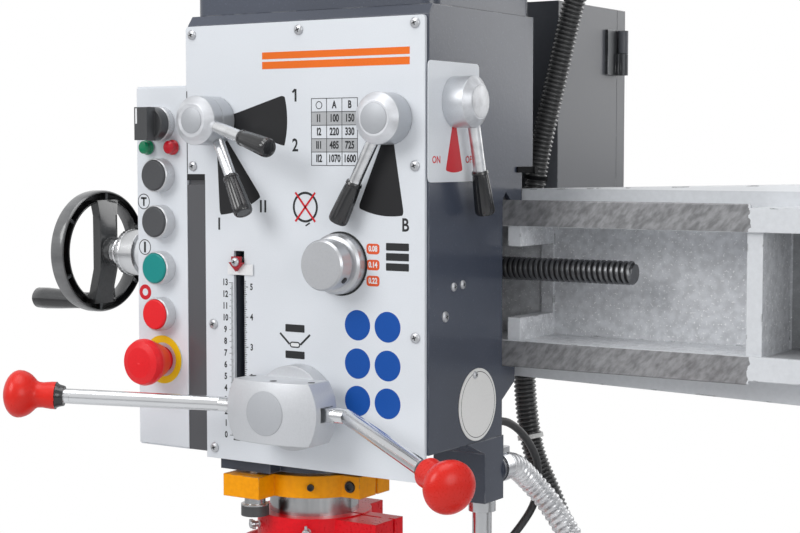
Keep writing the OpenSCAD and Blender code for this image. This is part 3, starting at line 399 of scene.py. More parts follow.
def make_finishes():
    """Every finish on the drill, by name."""
    enamel, motor, panel, arm = colour("enamel"), colour("motor"), colour("panel"), colour("arm")
    steel, polished = (0.50, 0.505, 0.51), (0.74, 0.75, 0.765)

    # Masks of x, y and z in metres, each 1 where another colour or metal shows.
    def above(axis, limit):
        """1 where one coordinate is more than limit."""
        return lambda *place: place["xyz".index(axis)] > limit

    def below(axis, limit):
        """1 where one coordinate is less than limit."""
        return lambda *place: place["xyz".index(axis)] < limit

    def around(centre, axis):
        """Squared distance from the line through centre along an axis."""
        first, second = ("xyz".index(other) for other in "xyz" if other != axis)
        return lambda *place: (place[first] - centre[first]) ** 2 + (place[second] - centre[second]) ** 2

    def rod(hub, axis):
        """The rod of a selector, outside its hub."""
        return lambda *place: around(hub, axis)(*place) > HUB_REACH ** 2

    from_wheel, from_lift = around(WHEEL, "x"), around(LIFT_FOOT, "z")
    clamp = at(*HOSE_ROUTE[0])

    # Wear and painted sheen: the rim's outer band is grey, partly worn plastic and partly a painted sheen on
    # the glossy rim.
    def wheel_rim(*place):
        return from_wheel(*place) > 0.0600 ** 2

    # Painted shade: the groove in the rim is painted near black for the shade inside it.
    def groove(*place):
        out = from_wheel(*place)
        return (out < 0.0587 ** 2) * (out > 0.0515 ** 2)

    # Painted shade: the web and hub on the half towards the back are painted near black.
    def far_side(x, y, z):
        return (from_wheel(x, y, z) < 0.0495 ** 2) * (y > -0.0055)

    # Painted shade: the roots of the traverse and lift threads are painted near black for the shade between
    # the crests.
    def thread_root(x, y, z):
        return (from_wheel(x, y, z) < 0.0086 ** 2) * (x < -0.3692)

    def lift_root(*place):
        return from_lift(*place) < 0.0163 ** 2

    def notch(x, y, z):
        return (x < -0.6995) * (y < -0.15) * (z < 1.138)

    def hose_clamp(x, y, z):
        half = 0.022
        return (abs(x - clamp.x) < half) * (abs(z - clamp.z) < half) * (y < 0.0)

    enamel_finish("enamel", enamel, [(notch, (0.078, 0.079, 0.087), 0.4, 0.0)])
    enamel_finish("base_enamel", enamel, [(above("z", 0.1292), steel, 0.34, 0.9)])
    coat("motor_paint", motor, 0.42, grain=260, depth=0.00006, wear=(0.28, 0.29, 0.3), gloss=0.15)
    coat("cabinet_paint", colour("cabinet"), 0.40, grain=300, depth=0.00004, mottle=0.06, gloss=0.15,
         wear=(0.30, 0.31, 0.32), edge=0.0010)
    coat("panel_paint", panel, 0.36, grain=900, depth=0.000012, mottle=0.025, gloss=0.1)
    coat("box_paint", panel, 0.38, grain=900, depth=0.000012, mottle=0.025, gloss=0.15,
         second=[(above("y", -0.146), (0.085, 0.086, 0.094), 0.4, 0.0)])
    arm_finish(arm, colour("rail"), colour("channel"))
    coat("bracket_paint", arm, 0.42, grain=260, depth=0.00006, mottle=0.05, wear=(0.16, 0.165, 0.17))
    coat("ground_steel", steel, 0.24, 1.0, grain=240, depth=0.000012, stretch=(0.3, 0.3, 6), mottle=0.08)
    coat("bright_steel", steel, 0.22, 1.0, grain=300, depth=0.000006, stretch=(1, 1, 0.04), mottle=0.14)
    coat("dark_steel", (0.10, 0.105, 0.11), 0.38, 0.85, grain=300, depth=0.00002, mottle=0.2,
         wear=(0.30, 0.30, 0.31))
    coat("black_metal", (0.030, 0.031, 0.033), 0.36, 0.2, grain=500, depth=0.00002, mottle=0.2,
         second=[(hose_clamp, (0.62, 0.63, 0.65), 0.22, 1.0)])
    coat("chrome", polished, 0.18, 1.0, grain=40, depth=0.000004, mottle=0.03)
    coat("satin_metal", (0.52, 0.53, 0.55), 0.34, 0.7, grain=800, depth=0.00001, mottle=0.05)
    # Painted light: the side hub's finish is a lighter copy of the front hubs', lifting the shade on its
    # right-facing side, and each hub's outer end is painted lighter as a lit face.
    hub, lit_side_hub, lit_hub_end = (0.47, 0.49, 0.52), (0.63, 0.65, 0.68), (0.64, 0.655, 0.685)
    for name, rgb, end, bare, rough in (
            ("left_levers", hub, below("y", -0.1872), rod(LEFT_HUB, "y"), 0.27),
            ("right_lever", hub, below("y", -0.1792), rod(RIGHT_HUB, "y"), 0.2),
            ("side_lever", lit_side_hub, above("x", -0.4588), rod(SIDE_HUB, "x"), 0.38)):
        coat(name, rgb, 0.36, 0.5, grain=800, depth=0.00001, mottle=0.05, edge=0.001,
             second=[(end, lit_hub_end, 0.4, 0.4), (bare, polished, rough, 1.0)])
    # Painted light: the side hub's face is painted lighter to lift the shade where it faces right.
    coat("satin_face", (0.42, 0.435, 0.46), 0.45, 0.3, grain=900, depth=0.00001, mottle=0.04,
         second=[(above("x", -0.46), (0.74, 0.75, 0.77), 0.45, 0.3)])
    coat("badge_face", (0.43, 0.445, 0.47), 0.50, 0.2, grain=900, depth=0.00001, mottle=0.04)
    coat("hub_metal", (0.58, 0.595, 0.62), 0.42, 0.4, grain=700, depth=0.00001, mottle=0.05, edge=0.0014)
    coat("bronze", (0.46, 0.27, 0.10), 0.36, 1.0, grain=300, depth=0.00002, mottle=0.15)
    coat("gib_iron", (0.20, 0.20, 0.205), 0.45, 0.9, grain=300, depth=0.00003, mottle=0.15)
    coat("yellow_paint", colour("yellow"), 0.34, grain=260, depth=0.00008, wear=(0.24, 0.18, 0.12),
         specular=0.2, edge=0.0012)
    coat("red_paint", colour("red"), 0.30, grain=300, depth=0.00005, specular=0.25)
    coat("knob_plastic", colour("knob"), 0.30, grain=500, depth=0.00001, mottle=0.05, specular=0.35)
    for name, rgb, rough, mottle in (("red_plastic", (0.76, 0.016, 0.022), 0.32, 0.06),
                                     ("green_plastic", (0.008, 0.24, 0.225), 0.32, 0.06),
                                     ("grey_plastic", (0.070, 0.072, 0.077), 0.40, 0.08)):
        coat(name, rgb, rough, grain=700, depth=0.00001, mottle=mottle, specular=0.3)
    coat("switch_plastic", (0.052, 0.054, 0.057), 0.34, grain=700, depth=0.00001, mottle=0.08)
    coat("bezel_plastic", (0.58, 0.59, 0.61), 0.30, 0.35, grain=700, depth=0.000008, mottle=0.05)
    coat("tie_plastic", (0.74, 0.74, 0.72), 0.40, grain=500, depth=0.00001, mottle=0.05)
    coat("black_plastic", (0.014, 0.0145, 0.016), 0.17, grain=600, depth=0.000008, mottle=0.15, gloss=0.4)
    coat("wheel_plastic", (0.045, 0.047, 0.049), 0.20, grain=420, depth=0.00002, mottle=0.2, gloss=0.6,
         edge=0.0012, second=[(wheel_rim, (0.15, 0.153, 0.157), 0.2, 0.0),
                              (groove, (0.008, 0.008, 0.009), 0.4, 0.0),
                              (far_side, (0.012, 0.012, 0.013), 0.2, 0.0)])
    for name, root in (("thread_steel", thread_root), ("lift_steel", lift_root)):
        coat(name, (0.15, 0.153, 0.158), 0.32, 0.85, grain=300, depth=0.00002, mottle=0.15,
             second=[(root, (0.022, 0.022, 0.024), 0.5, 0.3)])
    coat("clip_metal", (0.007, 0.007, 0.008), 0.7, grain=500, depth=0.00002, mottle=0.15, specular=0.06)
    coat("black_rubber", (0.042, 0.0425, 0.043), 0.24, grain=500, depth=0.00002, mottle=0.2, gloss=0.35)
    coat("cable_rubber", (0.040, 0.040, 0.042), 0.46, grain=500, depth=0.00002, mottle=0.15)
    coat("hose_plastic", (0.74, 0.745, 0.76), 0.26, 0.5, grain=150, depth=0.00022, mottle=0.28)
    coat("lamp_plastic", (0.0, 0.20, 0.085), 0.14, grain=700, depth=0.000005, mottle=0.12,
         second=[(above("x", -0.748), (0.50, 0.002, 0.014), 0.14, 0.0),
                 (above("y", -0.1615), (0.45, 0.46, 0.48), 0.3, 0.9)])
    coat("rod_steel", steel, 0.24, 1.0, grain=300, depth=0.00001, stretch=(1, 1, 5), mottle=0.08,
         second=[(below("y", -0.1616), (0.37, 0.007, 0.018), 0.35, 0.0),
                 (below("z", 0.8592), (0.075, 0.077, 0.08), 0.4, 0.2)])
    for name, rgb in (("ink", colour("ink")), ("orange_ink", colour("orange")),
                      ("blue_ink", colour("blue")), ("red_ink", (0.58, 0.014, 0.025)),
                      ("grey_ink", (0.44, 0.45, 0.465)),
                      ("white_ink", (0.78, 0.79, 0.80)), ("charcoal_ink", (0.015, 0.015, 0.0165)),
                      ("yellow_ink", (0.80, 0.55, 0.008)), ("chip_ink", (0.72, 0.10, 0.03))):
        coat(name, rgb, 0.46, grain=900, depth=0.000006, mottle=0.06, edge=0.0, specular=0.25)
    coat("tag_plastic", (0.80, 0.795, 0.78), 0.36, grain=600, depth=0.00001, mottle=0.05)


# The solids of the frame that each finish goes on.
FINISH_OF = {
    "enamel": ("column_foot", "column_cap", "head_casting", "top_cover", "coolant_block"),
    "base_enamel": ("base_plate",),
    "motor_paint": ("lift_motor", "spindle_motor", "terminal_box"),
    "cabinet_paint": ("cabinet", "cabinet_door"),
    "panel_paint": ("front_plate",),
    "box_paint": ("control_box",),
    "arm_paint": ("arm",),
    "bracket_paint": ("screw_bracket",),
    "ground_steel": ("column",),
    "bright_steel": ("quill", "spindle", "pinion_shaft", "quill_bearings"),
    "dark_steel": ("lift_screw", "traverse_screw", "cabinet_hinges"),
    "black_metal": ("clamp_lever", "cord_fittings"),
    "bezel_plastic": ("control_bezels",),
    "chrome": ("feed_arm_left", "feed_arm_right", "coolant_pipe"),
    "satin_metal": ("feed_dial",),
    "hub_metal": ("feed_hub",),
    "left_levers": ("range_lever", "gear_lever"),
    "right_lever": ("speed_lever",),
    "side_lever": ("feed_lever",),
    "bronze": ("lift_nut", "traverse_nut"),
    "gib_iron": ("gib_strip",),
    "yellow_paint": ("depth_collar",),
    "red_paint": ("guard_ring", "chip_guard"),
    "red_plastic": ("stop_button", "estop_button"),
    "knob_plastic": ("feed_knob_left", "feed_knob_right"),
    "green_plastic": ("start_button",),
    "grey_plastic": ("tapping_button", "jog_button"),
    "switch_plastic": ("mode_switch",),
    "black_plastic": ("range_grip", "gear_grip", "speed_grip", "feed_grip", "crank_grip"),
    "wheel_plastic": ("handwheel",),
    "black_rubber": ("conduit",),
    "cable_rubber": ("switch_cable",),
    "hose_plastic": ("coolant_hose",),
    "lamp_plastic": ("pilot_lamps",),
    "rod_steel": ("depth_rod",),
}


# ---------------------------------------------------------------- modelling helpers


def clear():
    """Deselects everything, so that an operator acts on the new piece alone."""
    bpy.ops.object.select_all(action="DESELECT")


def take(*pieces):
    """Selects these pieces, the first one active."""
    clear()
    for piece in pieces:
        piece.select_set(True)
    bpy.context.view_layer.objects.active = pieces[0]


def edit():
    """Enters edit mode on the active piece with all of it selected."""
    bpy.ops.object.mode_set(mode="EDIT")
    bpy.ops.mesh.select_all(action="SELECT")


def begin(add, **settings):
    """Adds a primitive by itself and opens it in edit mode."""
    clear()
    add(**settings)
    piece = bpy.context.object
    edit()
    return piece


def done():
    """Merges doubles, turns faces outwards and leaves edit mode."""
    bpy.ops.mesh.select_all(action="SELECT")
    bpy.ops.mesh.remove_doubles(threshold=0.000001)
    bpy.ops.mesh.normals_make_consistent(inside=False)
    bpy.ops.object.mode_set(mode="OBJECT")


def pick(piece, test):
    """In edit mode, selects the vertices whose place passes the test."""
    bpy.ops.mesh.select_mode(type="VERT")
    bpy.ops.mesh.select_all(action="DESELECT")
    bpy.ops.object.mode_set(mode="OBJECT")
    for vertex in piece.data.vertices:
        vertex.select = test(vertex.co)
    bpy.ops.object.mode_set(mode="EDIT")


def settle(piece, name, finish, place, turn=None, smooth=35):
    """Names a piece, gives it its finish and puts its place into its mesh."""
    piece.name = piece.data.name = name
    if finish:
        piece.data.materials.clear()
        piece.data.materials.append(FINISHES[finish])
    turn = (turn or Matrix.Identity(3)).to_4x4()
    piece.matrix_world = Matrix.Translation(place) @ turn @ piece.matrix_world
    take(piece)
    bpy.ops.object.transform_apply(location=True, rotation=True, scale=True)
    if smooth:
        bpy.ops.object.shade_smooth_by_angle(angle=math.radians(smooth))
    return piece


def towards(way):
    """The turn that points a piece's own Z along a direction."""
    return UP.rotation_difference(Vector(way)).to_matrix()


def turned(name, profile, finish, place, way, sides=40, smooth=35):
    """A turned piece: a disc extruded and scaled through (radius, height) steps in millimetres."""
    radius, height = profile[0]
    piece = begin(bpy.ops.mesh.primitive_circle_add, vertices=sides, radius=radius * MM, fill_type="NGON")
    for next_radius, next_height in profile[1:]:
        rise = (next_height - height) * MM
        bpy.ops.mesh.extrude_region_move(TRANSFORM_OT_translate={"value": (0, 0, rise)})
        share = next_radius / radius
        bpy.ops.transform.resize(value=(share, share, 1), center_override=(0, 0, next_height * MM))
        radius, height = next_radius, next_height
    done()
    return settle(piece, name, finish, place, towards(way), smooth)


def thicken(rise=None):
    """Gives the flat outline in edit mode its thickness, in millimetres or else that of a print."""
    rise = size("print_rise") if rise is None else rise * MM
    bpy.ops.mesh.select_all(action="SELECT")
    bpy.ops.mesh.extrude_region_move(TRANSFORM_OT_translate={"value": (0, 0, rise)})
    done()


def bar(width, height, finish, place, turn, rise=None, corner=0.0, angle=0.0):
    """A flat rectangle in millimetres, with rounded corners where asked."""
    piece = begin(bpy.ops.mesh.primitive_plane_add, size=1)
    bpy.ops.transform.resize(value=(width * MM, height * MM, 1))
    if corner:
        bpy.ops.mesh.bevel(affect="VERTICES", offset=corner * MM, segments=4)
    thicken(rise)
    spin = Matrix.Rotation(math.radians(angle), 3, "Z")
    return settle(piece, "bar", finish, place, turn @ spin, 0)


def ring(outer, inner, finish, place, turn, rise=None, sides=40):
    """A flat disc in millimetres, with a hole where inner isn't 0."""
    piece = begin(bpy.ops.mesh.primitive_circle_add, vertices=sides, radius=outer * MM, fill_type="NGON")
    if inner:
        bpy.ops.mesh.inset(thickness=(outer - inner) * MM)
        bpy.ops.mesh.delete(type="FACE")
    thicken(rise)
    return settle(piece, "ring", finish, place, turn, 0)


def sector(radius, first, last, finish, place, turn, corner):
    """A wedge of a disc between two angles in degrees, with rounded outer corners, in millimetres."""
    piece = begin(bpy.ops.mesh.primitive_circle_add, vertices=180, radius=radius * MM, fill_type="NGON")
    tips = []
    for angle, side in ((first, -1), (last, 1)):
        across, along = math.sin(math.radians(angle)), math.cos(math.radians(angle))
        bpy.ops.mesh.select_all(action="SELECT")
        bpy.ops.mesh.bisect(plane_co=(0, 0, 0), plane_no=(-across * side, along * side, 0),
                            clear_outer=True, use_fill=False)
        tips.append(Vector((along, across, 0)) * radius * MM)
    pick(piece, lambda co: min((co - tip).length for tip in tips) < 0.0004)
    bpy.ops.mesh.bevel(affect="VERTICES", offset=corner * MM, segments=4)
    thicken()
    return settle(piece, "sector", finish, place, turn, 0)


def digits(text, height, finish, place, turn, weight=0.03, narrow=1.0):
    """Plain printed figures of that height in millimetres, made a mesh."""
    clear()
    bpy.ops.object.text_add()
    words = bpy.context.object
    words.data.body = text
    words.data.size = height * MM / FIGURE_SHARE
    words.data.align_x = words.data.align_y = "CENTER"
    words.data.resolution_u = 3
    words.data.offset = height * weight * MM
    words.data.extrude = size("print_rise") * 0.5
    bpy.ops.object.convert(target="MESH")
    piece = bpy.context.object
    edit()
    bpy.ops.transform.resize(value=(narrow, 1, 1), center_override=(0, 0, 0))
    done()
    return settle(piece, "digits", finish, place, turn, 0)


def joined(name, pieces):
    """Makes one named piece of one or more that share a body."""
    take(*pieces)
    if len(pieces) > 1:
        bpy.ops.object.join()
    piece = bpy.context.object
    piece.name = piece.data.name = name
    return piece


def carry(piece, body, slot, *nodes):
    """Rides a piece on its body and hides the nodes it stands for."""
    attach(piece, body)
    if nodes:
        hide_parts(*nodes)


def drawn(points):
    """Starts a piece as a line through (radius, height) points in millimetres, left in edit mode."""
    piece = begin(bpy.ops.mesh.primitive_plane_add, size=MM)
    bpy.ops.mesh.merge(type="CENTER")
    bpy.ops.transform.translate(value=(points[0][0] * MM, 0, points[0][1] * MM))
    for (radius, height), (next_radius, next_height) in zip(points, points[1:]):
        step = ((next_radius - radius) * MM, 0, (next_height - height) * MM)
        bpy.ops.mesh.extrude_vertices_move(TRANSFORM_OT_translate={"value": step})
    bpy.ops.mesh.select_all(action="SELECT")
    bpy.ops.mesh.remove_doubles(threshold=0.000001)
    return piece


def swept(piece, steps, lead=0.0, turns=1):
    """Sweeps a drawn line around its own Z, rising by lead at each turn, and leaves it in edit mode."""
    bpy.ops.object.mode_set(mode="OBJECT")
    sweep = piece.modifiers.new("sweep", "SCREW")
    sweep.axis, sweep.angle, sweep.screw_offset, sweep.iterations = "Z", math.tau, lead, turns
    sweep.steps = sweep.render_steps = steps
    bpy.ops.object.modifier_apply(modifier="sweep")
    edit()
    bpy.ops.mesh.remove_doubles(threshold=0.00001)


def lever_way(angle, lean):
    """Direction of a selector lever from its hub: degrees from straight down and of lean forward."""
    a, b = math.radians(angle), math.radians(lean)
    return Vector((math.sin(a) * math.cos(b), -math.sin(b), -math.cos(a) * math.cos(b)))


# ---------------------------------------------------------------- cords


def smooth_route(points, step):
    """Even steps along a curve through the points, in metres."""
    between = 24
    places = [at(*p) for p in points]
    places = [places[0] * 2 - places[1]] + places + [places[-1] * 2 - places[-2]]
    dense = []
    for i in range(1, len(places) - 2):
        a, b, c, d = places[i - 1:i + 3]
        for k in range(between):
            t = k / between
            dense.append(0.5 * (2 * b + (c - a) * t + (2 * a - 5 * b + 4 * c - d) * t * t
                                + (3 * b - a - 3 * c + d) * t ** 3))
    dense.append(places[-2])
    run = [0.0]
    for a, b in zip(dense, dense[1:]):
        run.append(run[-1] + (b - a).length)
    count = max(8, round(run[-1] / step))
    path, j = [], 0
    for i in range(count + 1):
        goal = run[-1] * i / count
        while j < len(run) - 2 and run[j + 1] < goal:
            j += 1
        path.append(dense[j].lerp(dense[j + 1], (goal - run[j]) / max(run[j + 1] - run[j], 1e-9)))
    return path, run[-1]


def tube(name, path, radius_at, sides, finish):
    """A closed tube along a path, its radius given for each point."""
    verts, faces = [], []
    side = UP.cross(path[1] - path[0])
    side = (side if side.length > 1e-9 else RIGHT).normalized()
    for i, place in enumerate(path):
        way = (path[min(i + 1, len(path) - 1)] - path[max(i - 1, 0)]).normalized()
        side = (side - way * side.dot(way)).normalized()
        up = way.cross(side)
        for k in range(sides):
            a = math.tau * k / sides
            verts.append(place + (side * math.cos(a) + up * math.sin(a)) * radius_at(i))
    for i in range(len(path) - 1):
        for k in range(sides):
            n = (k + 1) % sides
            faces.append((i * sides + k, i * sides + n, (i + 1) * sides + n, (i + 1) * sides + k))
    faces.append(tuple(reversed(range(sides))))
    faces.append(tuple((len(path) - 1) * sides + k for k in range(sides)))
    mesh = bpy.data.meshes.new(name)
    mesh.from_pydata(verts, [], faces)
    piece = bpy.data.objects.new(name, mesh)
    bpy.context.collection.objects.link(piece)
    take(piece)
    edit()
    done()
    return settle(piece, name, finish, Vector(), None, 50)


def ribbed(name, points, diameter, pitch, groove, finish, per_rib=6, sides=18, power=1.0):
    """A corrugated tube: even ribs along the route, and the route's path and length."""
    path, total = smooth_route(points, pitch / per_rib)
    last = len(path) - 1

    def radius_at(i):
        wave = (0.5 - 0.5 * math.cos(math.tau * i / per_rib)) ** power
        return diameter / 2 - groove * MM * (1 - wave if 0 < i < last else 1)

    return tube(name, path, radius_at, sides, finish), path, total


# ---------------------------------------------------------------- operators


class DRILL_OT_stage(bpy.types.Operator):
    """Sets the camera, the floor, the lamps and the plain white surround."""
    bl_idname = "drill.stage"
    bl_label = "Stage"

    def execute(self, context):
        scene = context.scene
        scene.view_settings.view_transform = "Standard"
        lens = bpy.data.cameras.new("camera")
        lens.lens, lens.sensor_width, lens.sensor_fit = LENS, 36.0, "HORIZONTAL"
        lens.clip_start, lens.clip_end = 0.05, 60.0
        camera = bpy.data.objects.new("camera", lens)
        camera.location = VIEW_FROM
        camera.rotation_euler = (math.radians(90 - VIEW_DIP), 0, math.radians(VIEW_TURN))
        scene.collection.objects.link(camera)
        scene.camera = camera
        for name, place, aim, width, watts in (
                ("key", (-1.9, -3.0, 2.9), (-0.5, 0, 1.05), 2.2, 62),
                ("fill", (2.6, -1.6, 1.8), (-0.4, 0, 1.0), 2.0, 28),
                ("top", (-0.4, -0.4, 3.6), (-0.4, 0, 1.0), 2.4, 34),
                ("back", (0.6, 3.2, 2.2), (-0.4, 0, 1.0), 2.4, 22)):
            lamp = bpy.data.lights.new(name, "AREA")
            lamp.shape, lamp.size, lamp.energy = "DISK", width, watts
            holder = bpy.data.objects.new(name, lamp)
            holder.location = place
            holder.rotation_euler = (Vector(aim) - Vector(place)).to_track_quat("-Z", "Y").to_euler()
            scene.collection.objects.link(holder)
        self.surround(scene)
        self.floor()
        return {"FINISHED"}

    @staticmethod
    def surround(scene):
        """White where the camera or a reflection looks, soft grey light elsewhere."""
        world = bpy.data.worlds.new("surround")
        world.use_nodes = True
        scene.world = world
        n = Nodes(world.node_tree)
        soft = n.tree.nodes["Background"]
        n.put(soft.inputs["Color"], (0.97, 0.98, 1.0))
        n.put(soft.inputs["Strength"], 0.42)
        white = n.node("ShaderNodeBackground", None, {"Color": (1, 1, 1), "Strength": 1.0})
        camera, through, glossy = (n.node("ShaderNodeLightPath", out="Is " + kind + " Ray")
                                   for kind in ("Camera", "Transmission", "Glossy"))
        share = n.node("ShaderNodeMath", {"operation": "ADD", "use_clamp": True},
                       {0: camera + through, 1: glossy * 0.62})
        mixed = n.node("ShaderNodeMixShader", None, {0: share, 1: Value(n, soft.outputs[0]), 2: white})
        n.put(n.tree.nodes["World Output"].inputs["Surface"], mixed)

    @staticmethod
    def floor():
        """A pale floor that takes the shadow near the drill and goes to white far off."""
        clear()
        bpy.ops.mesh.primitive_plane_add(size=40)
        ground = bpy.context.object
        ground.name = ground.data.name = "floor"
        f = Finish("floor_paint")
        x, y, _ = f.axes()
        speck = f.noise(30, 4.0)
        f.set(Base_Color=f.mix(speck, (0.76, 0.765, 0.77), (0.80, 0.805, 0.81)), Roughness=0.7)
        light = f.node("ShaderNodeLightPath", out="Is Camera Ray")
        glow = f.node("ShaderNodeEmission", None, {"Color": (1, 1, 1), "Strength": 1.0})
        near, far = 1.4, 3.2
        fade = f.ramp((x * x + y * y) ** 0.5, near, far) * light
        base = Value(f, f.shader.outputs[0])
        mixed = f.node("ShaderNodeMixShader", None, {0: fade, 1: base, 2: glow})
        f.put(f.tree.nodes["Material Output"].inputs["Surface"], mixed)
        ground.data.materials.append(f.material)


class DRILL_OT_finishes(bpy.types.Operator):
    """Gives every solid of the frame its finish."""
    bl_idname = "drill.finishes"
    bl_label = "Finishes"

    def execute(self, context):
        make_finishes()
        left = set(NODES)
        for finish, names in FINISH_OF.items():
            for name in names:
                solid = NODES[name]
                solid.data.materials.clear()
                solid.data.materials.append(FINISHES[finish])
                left.discard(name)
        if left:
            raise RuntimeError("no finish for " + ", ".join(sorted(left)))
        return {"FINISHED"}


class DRILL_OT_cords(bpy.types.Operator):
    """Lays the corrugated conduit with its tie and clip, the coolant hose and the switch cable."""
    bl_idname = "drill.cords"
    bl_label = "Cords"

    def execute(self, context):
        conduit, path, total = ribbed("conduit_tube", CONDUIT_ROUTE, size("conduit"), size("conduit_pitch"),
                                      1.7, "black_rubber", power=0.6)
        tie = self.tie(*self.nearest(path, at(-22.5, 217, 5)))
        self.clip(*self.nearest(path, at(-18.5, 217, 238)))
        self.hang(conduit, path, total, "medium", "conduit", "conduit", "black_rubber", with_pieces=[tie])
        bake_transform(conduit)
        hose, path, total = ribbed("hose_tube", HOSE_ROUTE, size("hose"), size("hose_pitch"),
                                   1.3, "hose_plastic", per_rib=8, sides=20, power=0.7)
        self.hang(hose, path, total, "medium", "hose", "coolant_hose", "hose_plastic")
        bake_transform(hose)
        path, total = smooth_route(CABLE_ROUTE, 0.004)
        cable = tube("cable_lead", path, lambda i: size("cable") / 2, 14, "cable_rubber")
        self.hang(cable, path, total, "limp", "cable", "switch_cable", "black_rubber")
        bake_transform(cable)
        return {"FINISHED"}

    @staticmethod
    def hang(piece, path, total, stiffness, kind, node, slot, **extra):
        """Reads the cord's size setting and hides the solid that the cord stands for."""
        size(kind)
        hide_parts(node)

    @staticmethod
    def nearest(path, place):
        """The point of a path that is nearest to a place, and the path's direction there."""
        i = min(range(1, len(path) - 1), key=lambda k: (path[k] - place).length)
        return path[i], (path[i + 1] - path[i - 1]).normalized()

    @staticmethod
    def clip(centre, way):
        """A black clip that holds the conduit to the edge of the head."""
        band = ring(10.5, 9.9, "clip_metal", centre - way * 0.0015, towards(way), 3.0, 36)
        foot = bar(30.0, 5.0, "clip_metal", at(2, 158, 246), SIDE, 1.6, 1.5)
        first, last = at(2.5, 171, 246), at(-1.8, 187, 244)
        along = (last - first).normalized()
        turn = Matrix((along, UP, along.cross(UP))).transposed()
        strap = bar((last - first).length / MM, 6.0, "clip_metal", (first + last) / 2, turn, 1.6, 1.5)
        carry(joined("conduit_clip", [band, foot, strap]), "head", "black_plastic")

    @staticmethod
    def tie(centre, way):
        """A pale tie drawn tight around the conduit, with its small lock."""
        band = ring(11.7, 10.7, "tie_plastic", centre - way * 0.002, towards(way), 4.0, 36)
        lock_place = centre + FORWARD * 0.0108 - way * 0.0025
        lock = bar(5.0, 5.0, "tie_plastic", lock_place, towards(way), 5.0, 0.8)
        piece = joined("conduit_tie", [band, lock])
        carry(piece, "head", "hose_plastic")
        return piece


class DRILL_OT_screw(bpy.types.Operator):
    """Cuts the threads of the traverse and lift screws, knurls the traverse sleeve and sets its bracket."""
    bl_idname = "drill.screw"
    bl_label = "Screws and bracket"

    def execute(self, context):
        self.traverse()
        self.lift()
        self.bracket()
        return {"FINISHED"}

    def traverse(self):
        """The traverse screw with the knurled sleeve and the collar behind its wheel."""
        screw = self.threaded("screw_thread", 8.0, 9.9, size("thread_lead"), 0.524, "thread_steel",
                              on_screw(-412), RIGHT, 0.84)
        teeth, hub, drum = 72, 14.2, 23.4
        profile = ((10, 0), (13.4, 0), (hub, 0.8), (hub, 5), (13.0, 6), (13.0, 8), (hub, 9), (hub, 13),
                   (15.5, 14.5), (22.4, 16), (drum, 16.8), (drum, 20.4), (22.6, 21.2), (22.6, 37.5),
                   (20.5, 39.4), (12, 39.4))
        sleeve = turned("screw_sleeve", profile, "chrome", on_screw(-452.8), RIGHT, sides=teeth)
        edit()

        def knurled(co):
            out = math.hypot(co.y - WHEEL.y, co.z - WHEEL.z) / MM
            tooth = round(math.atan2(co.z - WHEEL.z, co.y - WHEEL.y) * teeth / math.tau) % 2
            return tooth == 0 and (out > drum - 0.4 or abs(out - hub) < 0.1)

        pick(sleeve, knurled)
        bpy.ops.transform.resize(value=(1, 0.95, 0.95), center_override=WHEEL)
        done()
        collar = turned("wheel_collar", ((8.6, 0), (9.6, 1), (9.6, 22.8)), "dark_steel",
                        on_screw(-475.6), RIGHT)
        thread = joined("screw_thread", [screw, sleeve, collar])
        carry(thread, "traverse_wheel", "dark_steel", "traverse_screw")

    def lift(self):
        """The lift screw on its stop."""
        rod = self.threaded("lift_thread", 15.4, 17.9, size("lift_lead"), 0.906, "lift_steel",
                            LIFT_FOOT, UP)
        stop = turned("lift_stop", ((24.5, 0), (26, 1.5), (26, 11), (25, 12)), "dark_steel",
                      LIFT_FOOT - UP * 0.012, UP, sides=48)
        carry(joined("lift_thread", [rod, stop]), "lift_screw", "dark_steel", "lift_screw")

    @staticmethod
    def bracket():
        """The thin plate with its boss that holds the traverse screw at the arm's end."""
        low, high = (Vector(c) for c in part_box("screw_bracket"))
        middle, span = (low + high) / 2, (high - low) / MM
        middle.x = at(-403.6, 0, 0).x
        plate = bar(span.y, span.z, "bracket_paint", middle, SIDE, 3.5, 10.0)
        boss = turned("boss", ((15.9, 0), (15.9, 21), (21.5, 21), (22.0, 21.8), (22.0, 28.5), (20.5, 30.4)),
                      "bracket_paint", on_screw(-382), -RIGHT, sides=48)
        carry(joined("end_bracket", [plate, boss]), "arm", "arm_paint", "screw_bracket")

    @staticmethod
    def threaded(name, root, crest, lead, span, finish, place, way, tip=1.0):
        """A thread between two radii in millimetres, cut flat at both ends, its far edge drawn in."""
        pitch = lead / MM
        height = -2 * pitch
        outline = [(root, height)]
        # Shares of one pitch along the root, the rising flank, the crest and the falling flank.
        for radius, share in ((root, 0.27), (crest, 0.15), (crest, 0.43), (root, 0.15)):
            height += share * pitch
            outline.append((radius, height))
        rod = drawn(outline)
        swept(rod, 18, lead, math.ceil(span / lead) + 4)
        for height, side in ((0.0, -1), (span, 1)):
            bpy.ops.mesh.select_all(action="SELECT")
            bpy.ops.mesh.bisect(plane_co=(0, 0, height), plane_no=(0, 0, side),
                                clear_outer=True, use_fill=True)
        if tip < 1.0:
            pick(rod, lambda co: co.z > span - 0.0015)
            bpy.ops.transform.resize(value=(tip, tip, 1), center_override=(0, 0, span))
        done()
        return settle(rod, name, finish, place, towards(way))


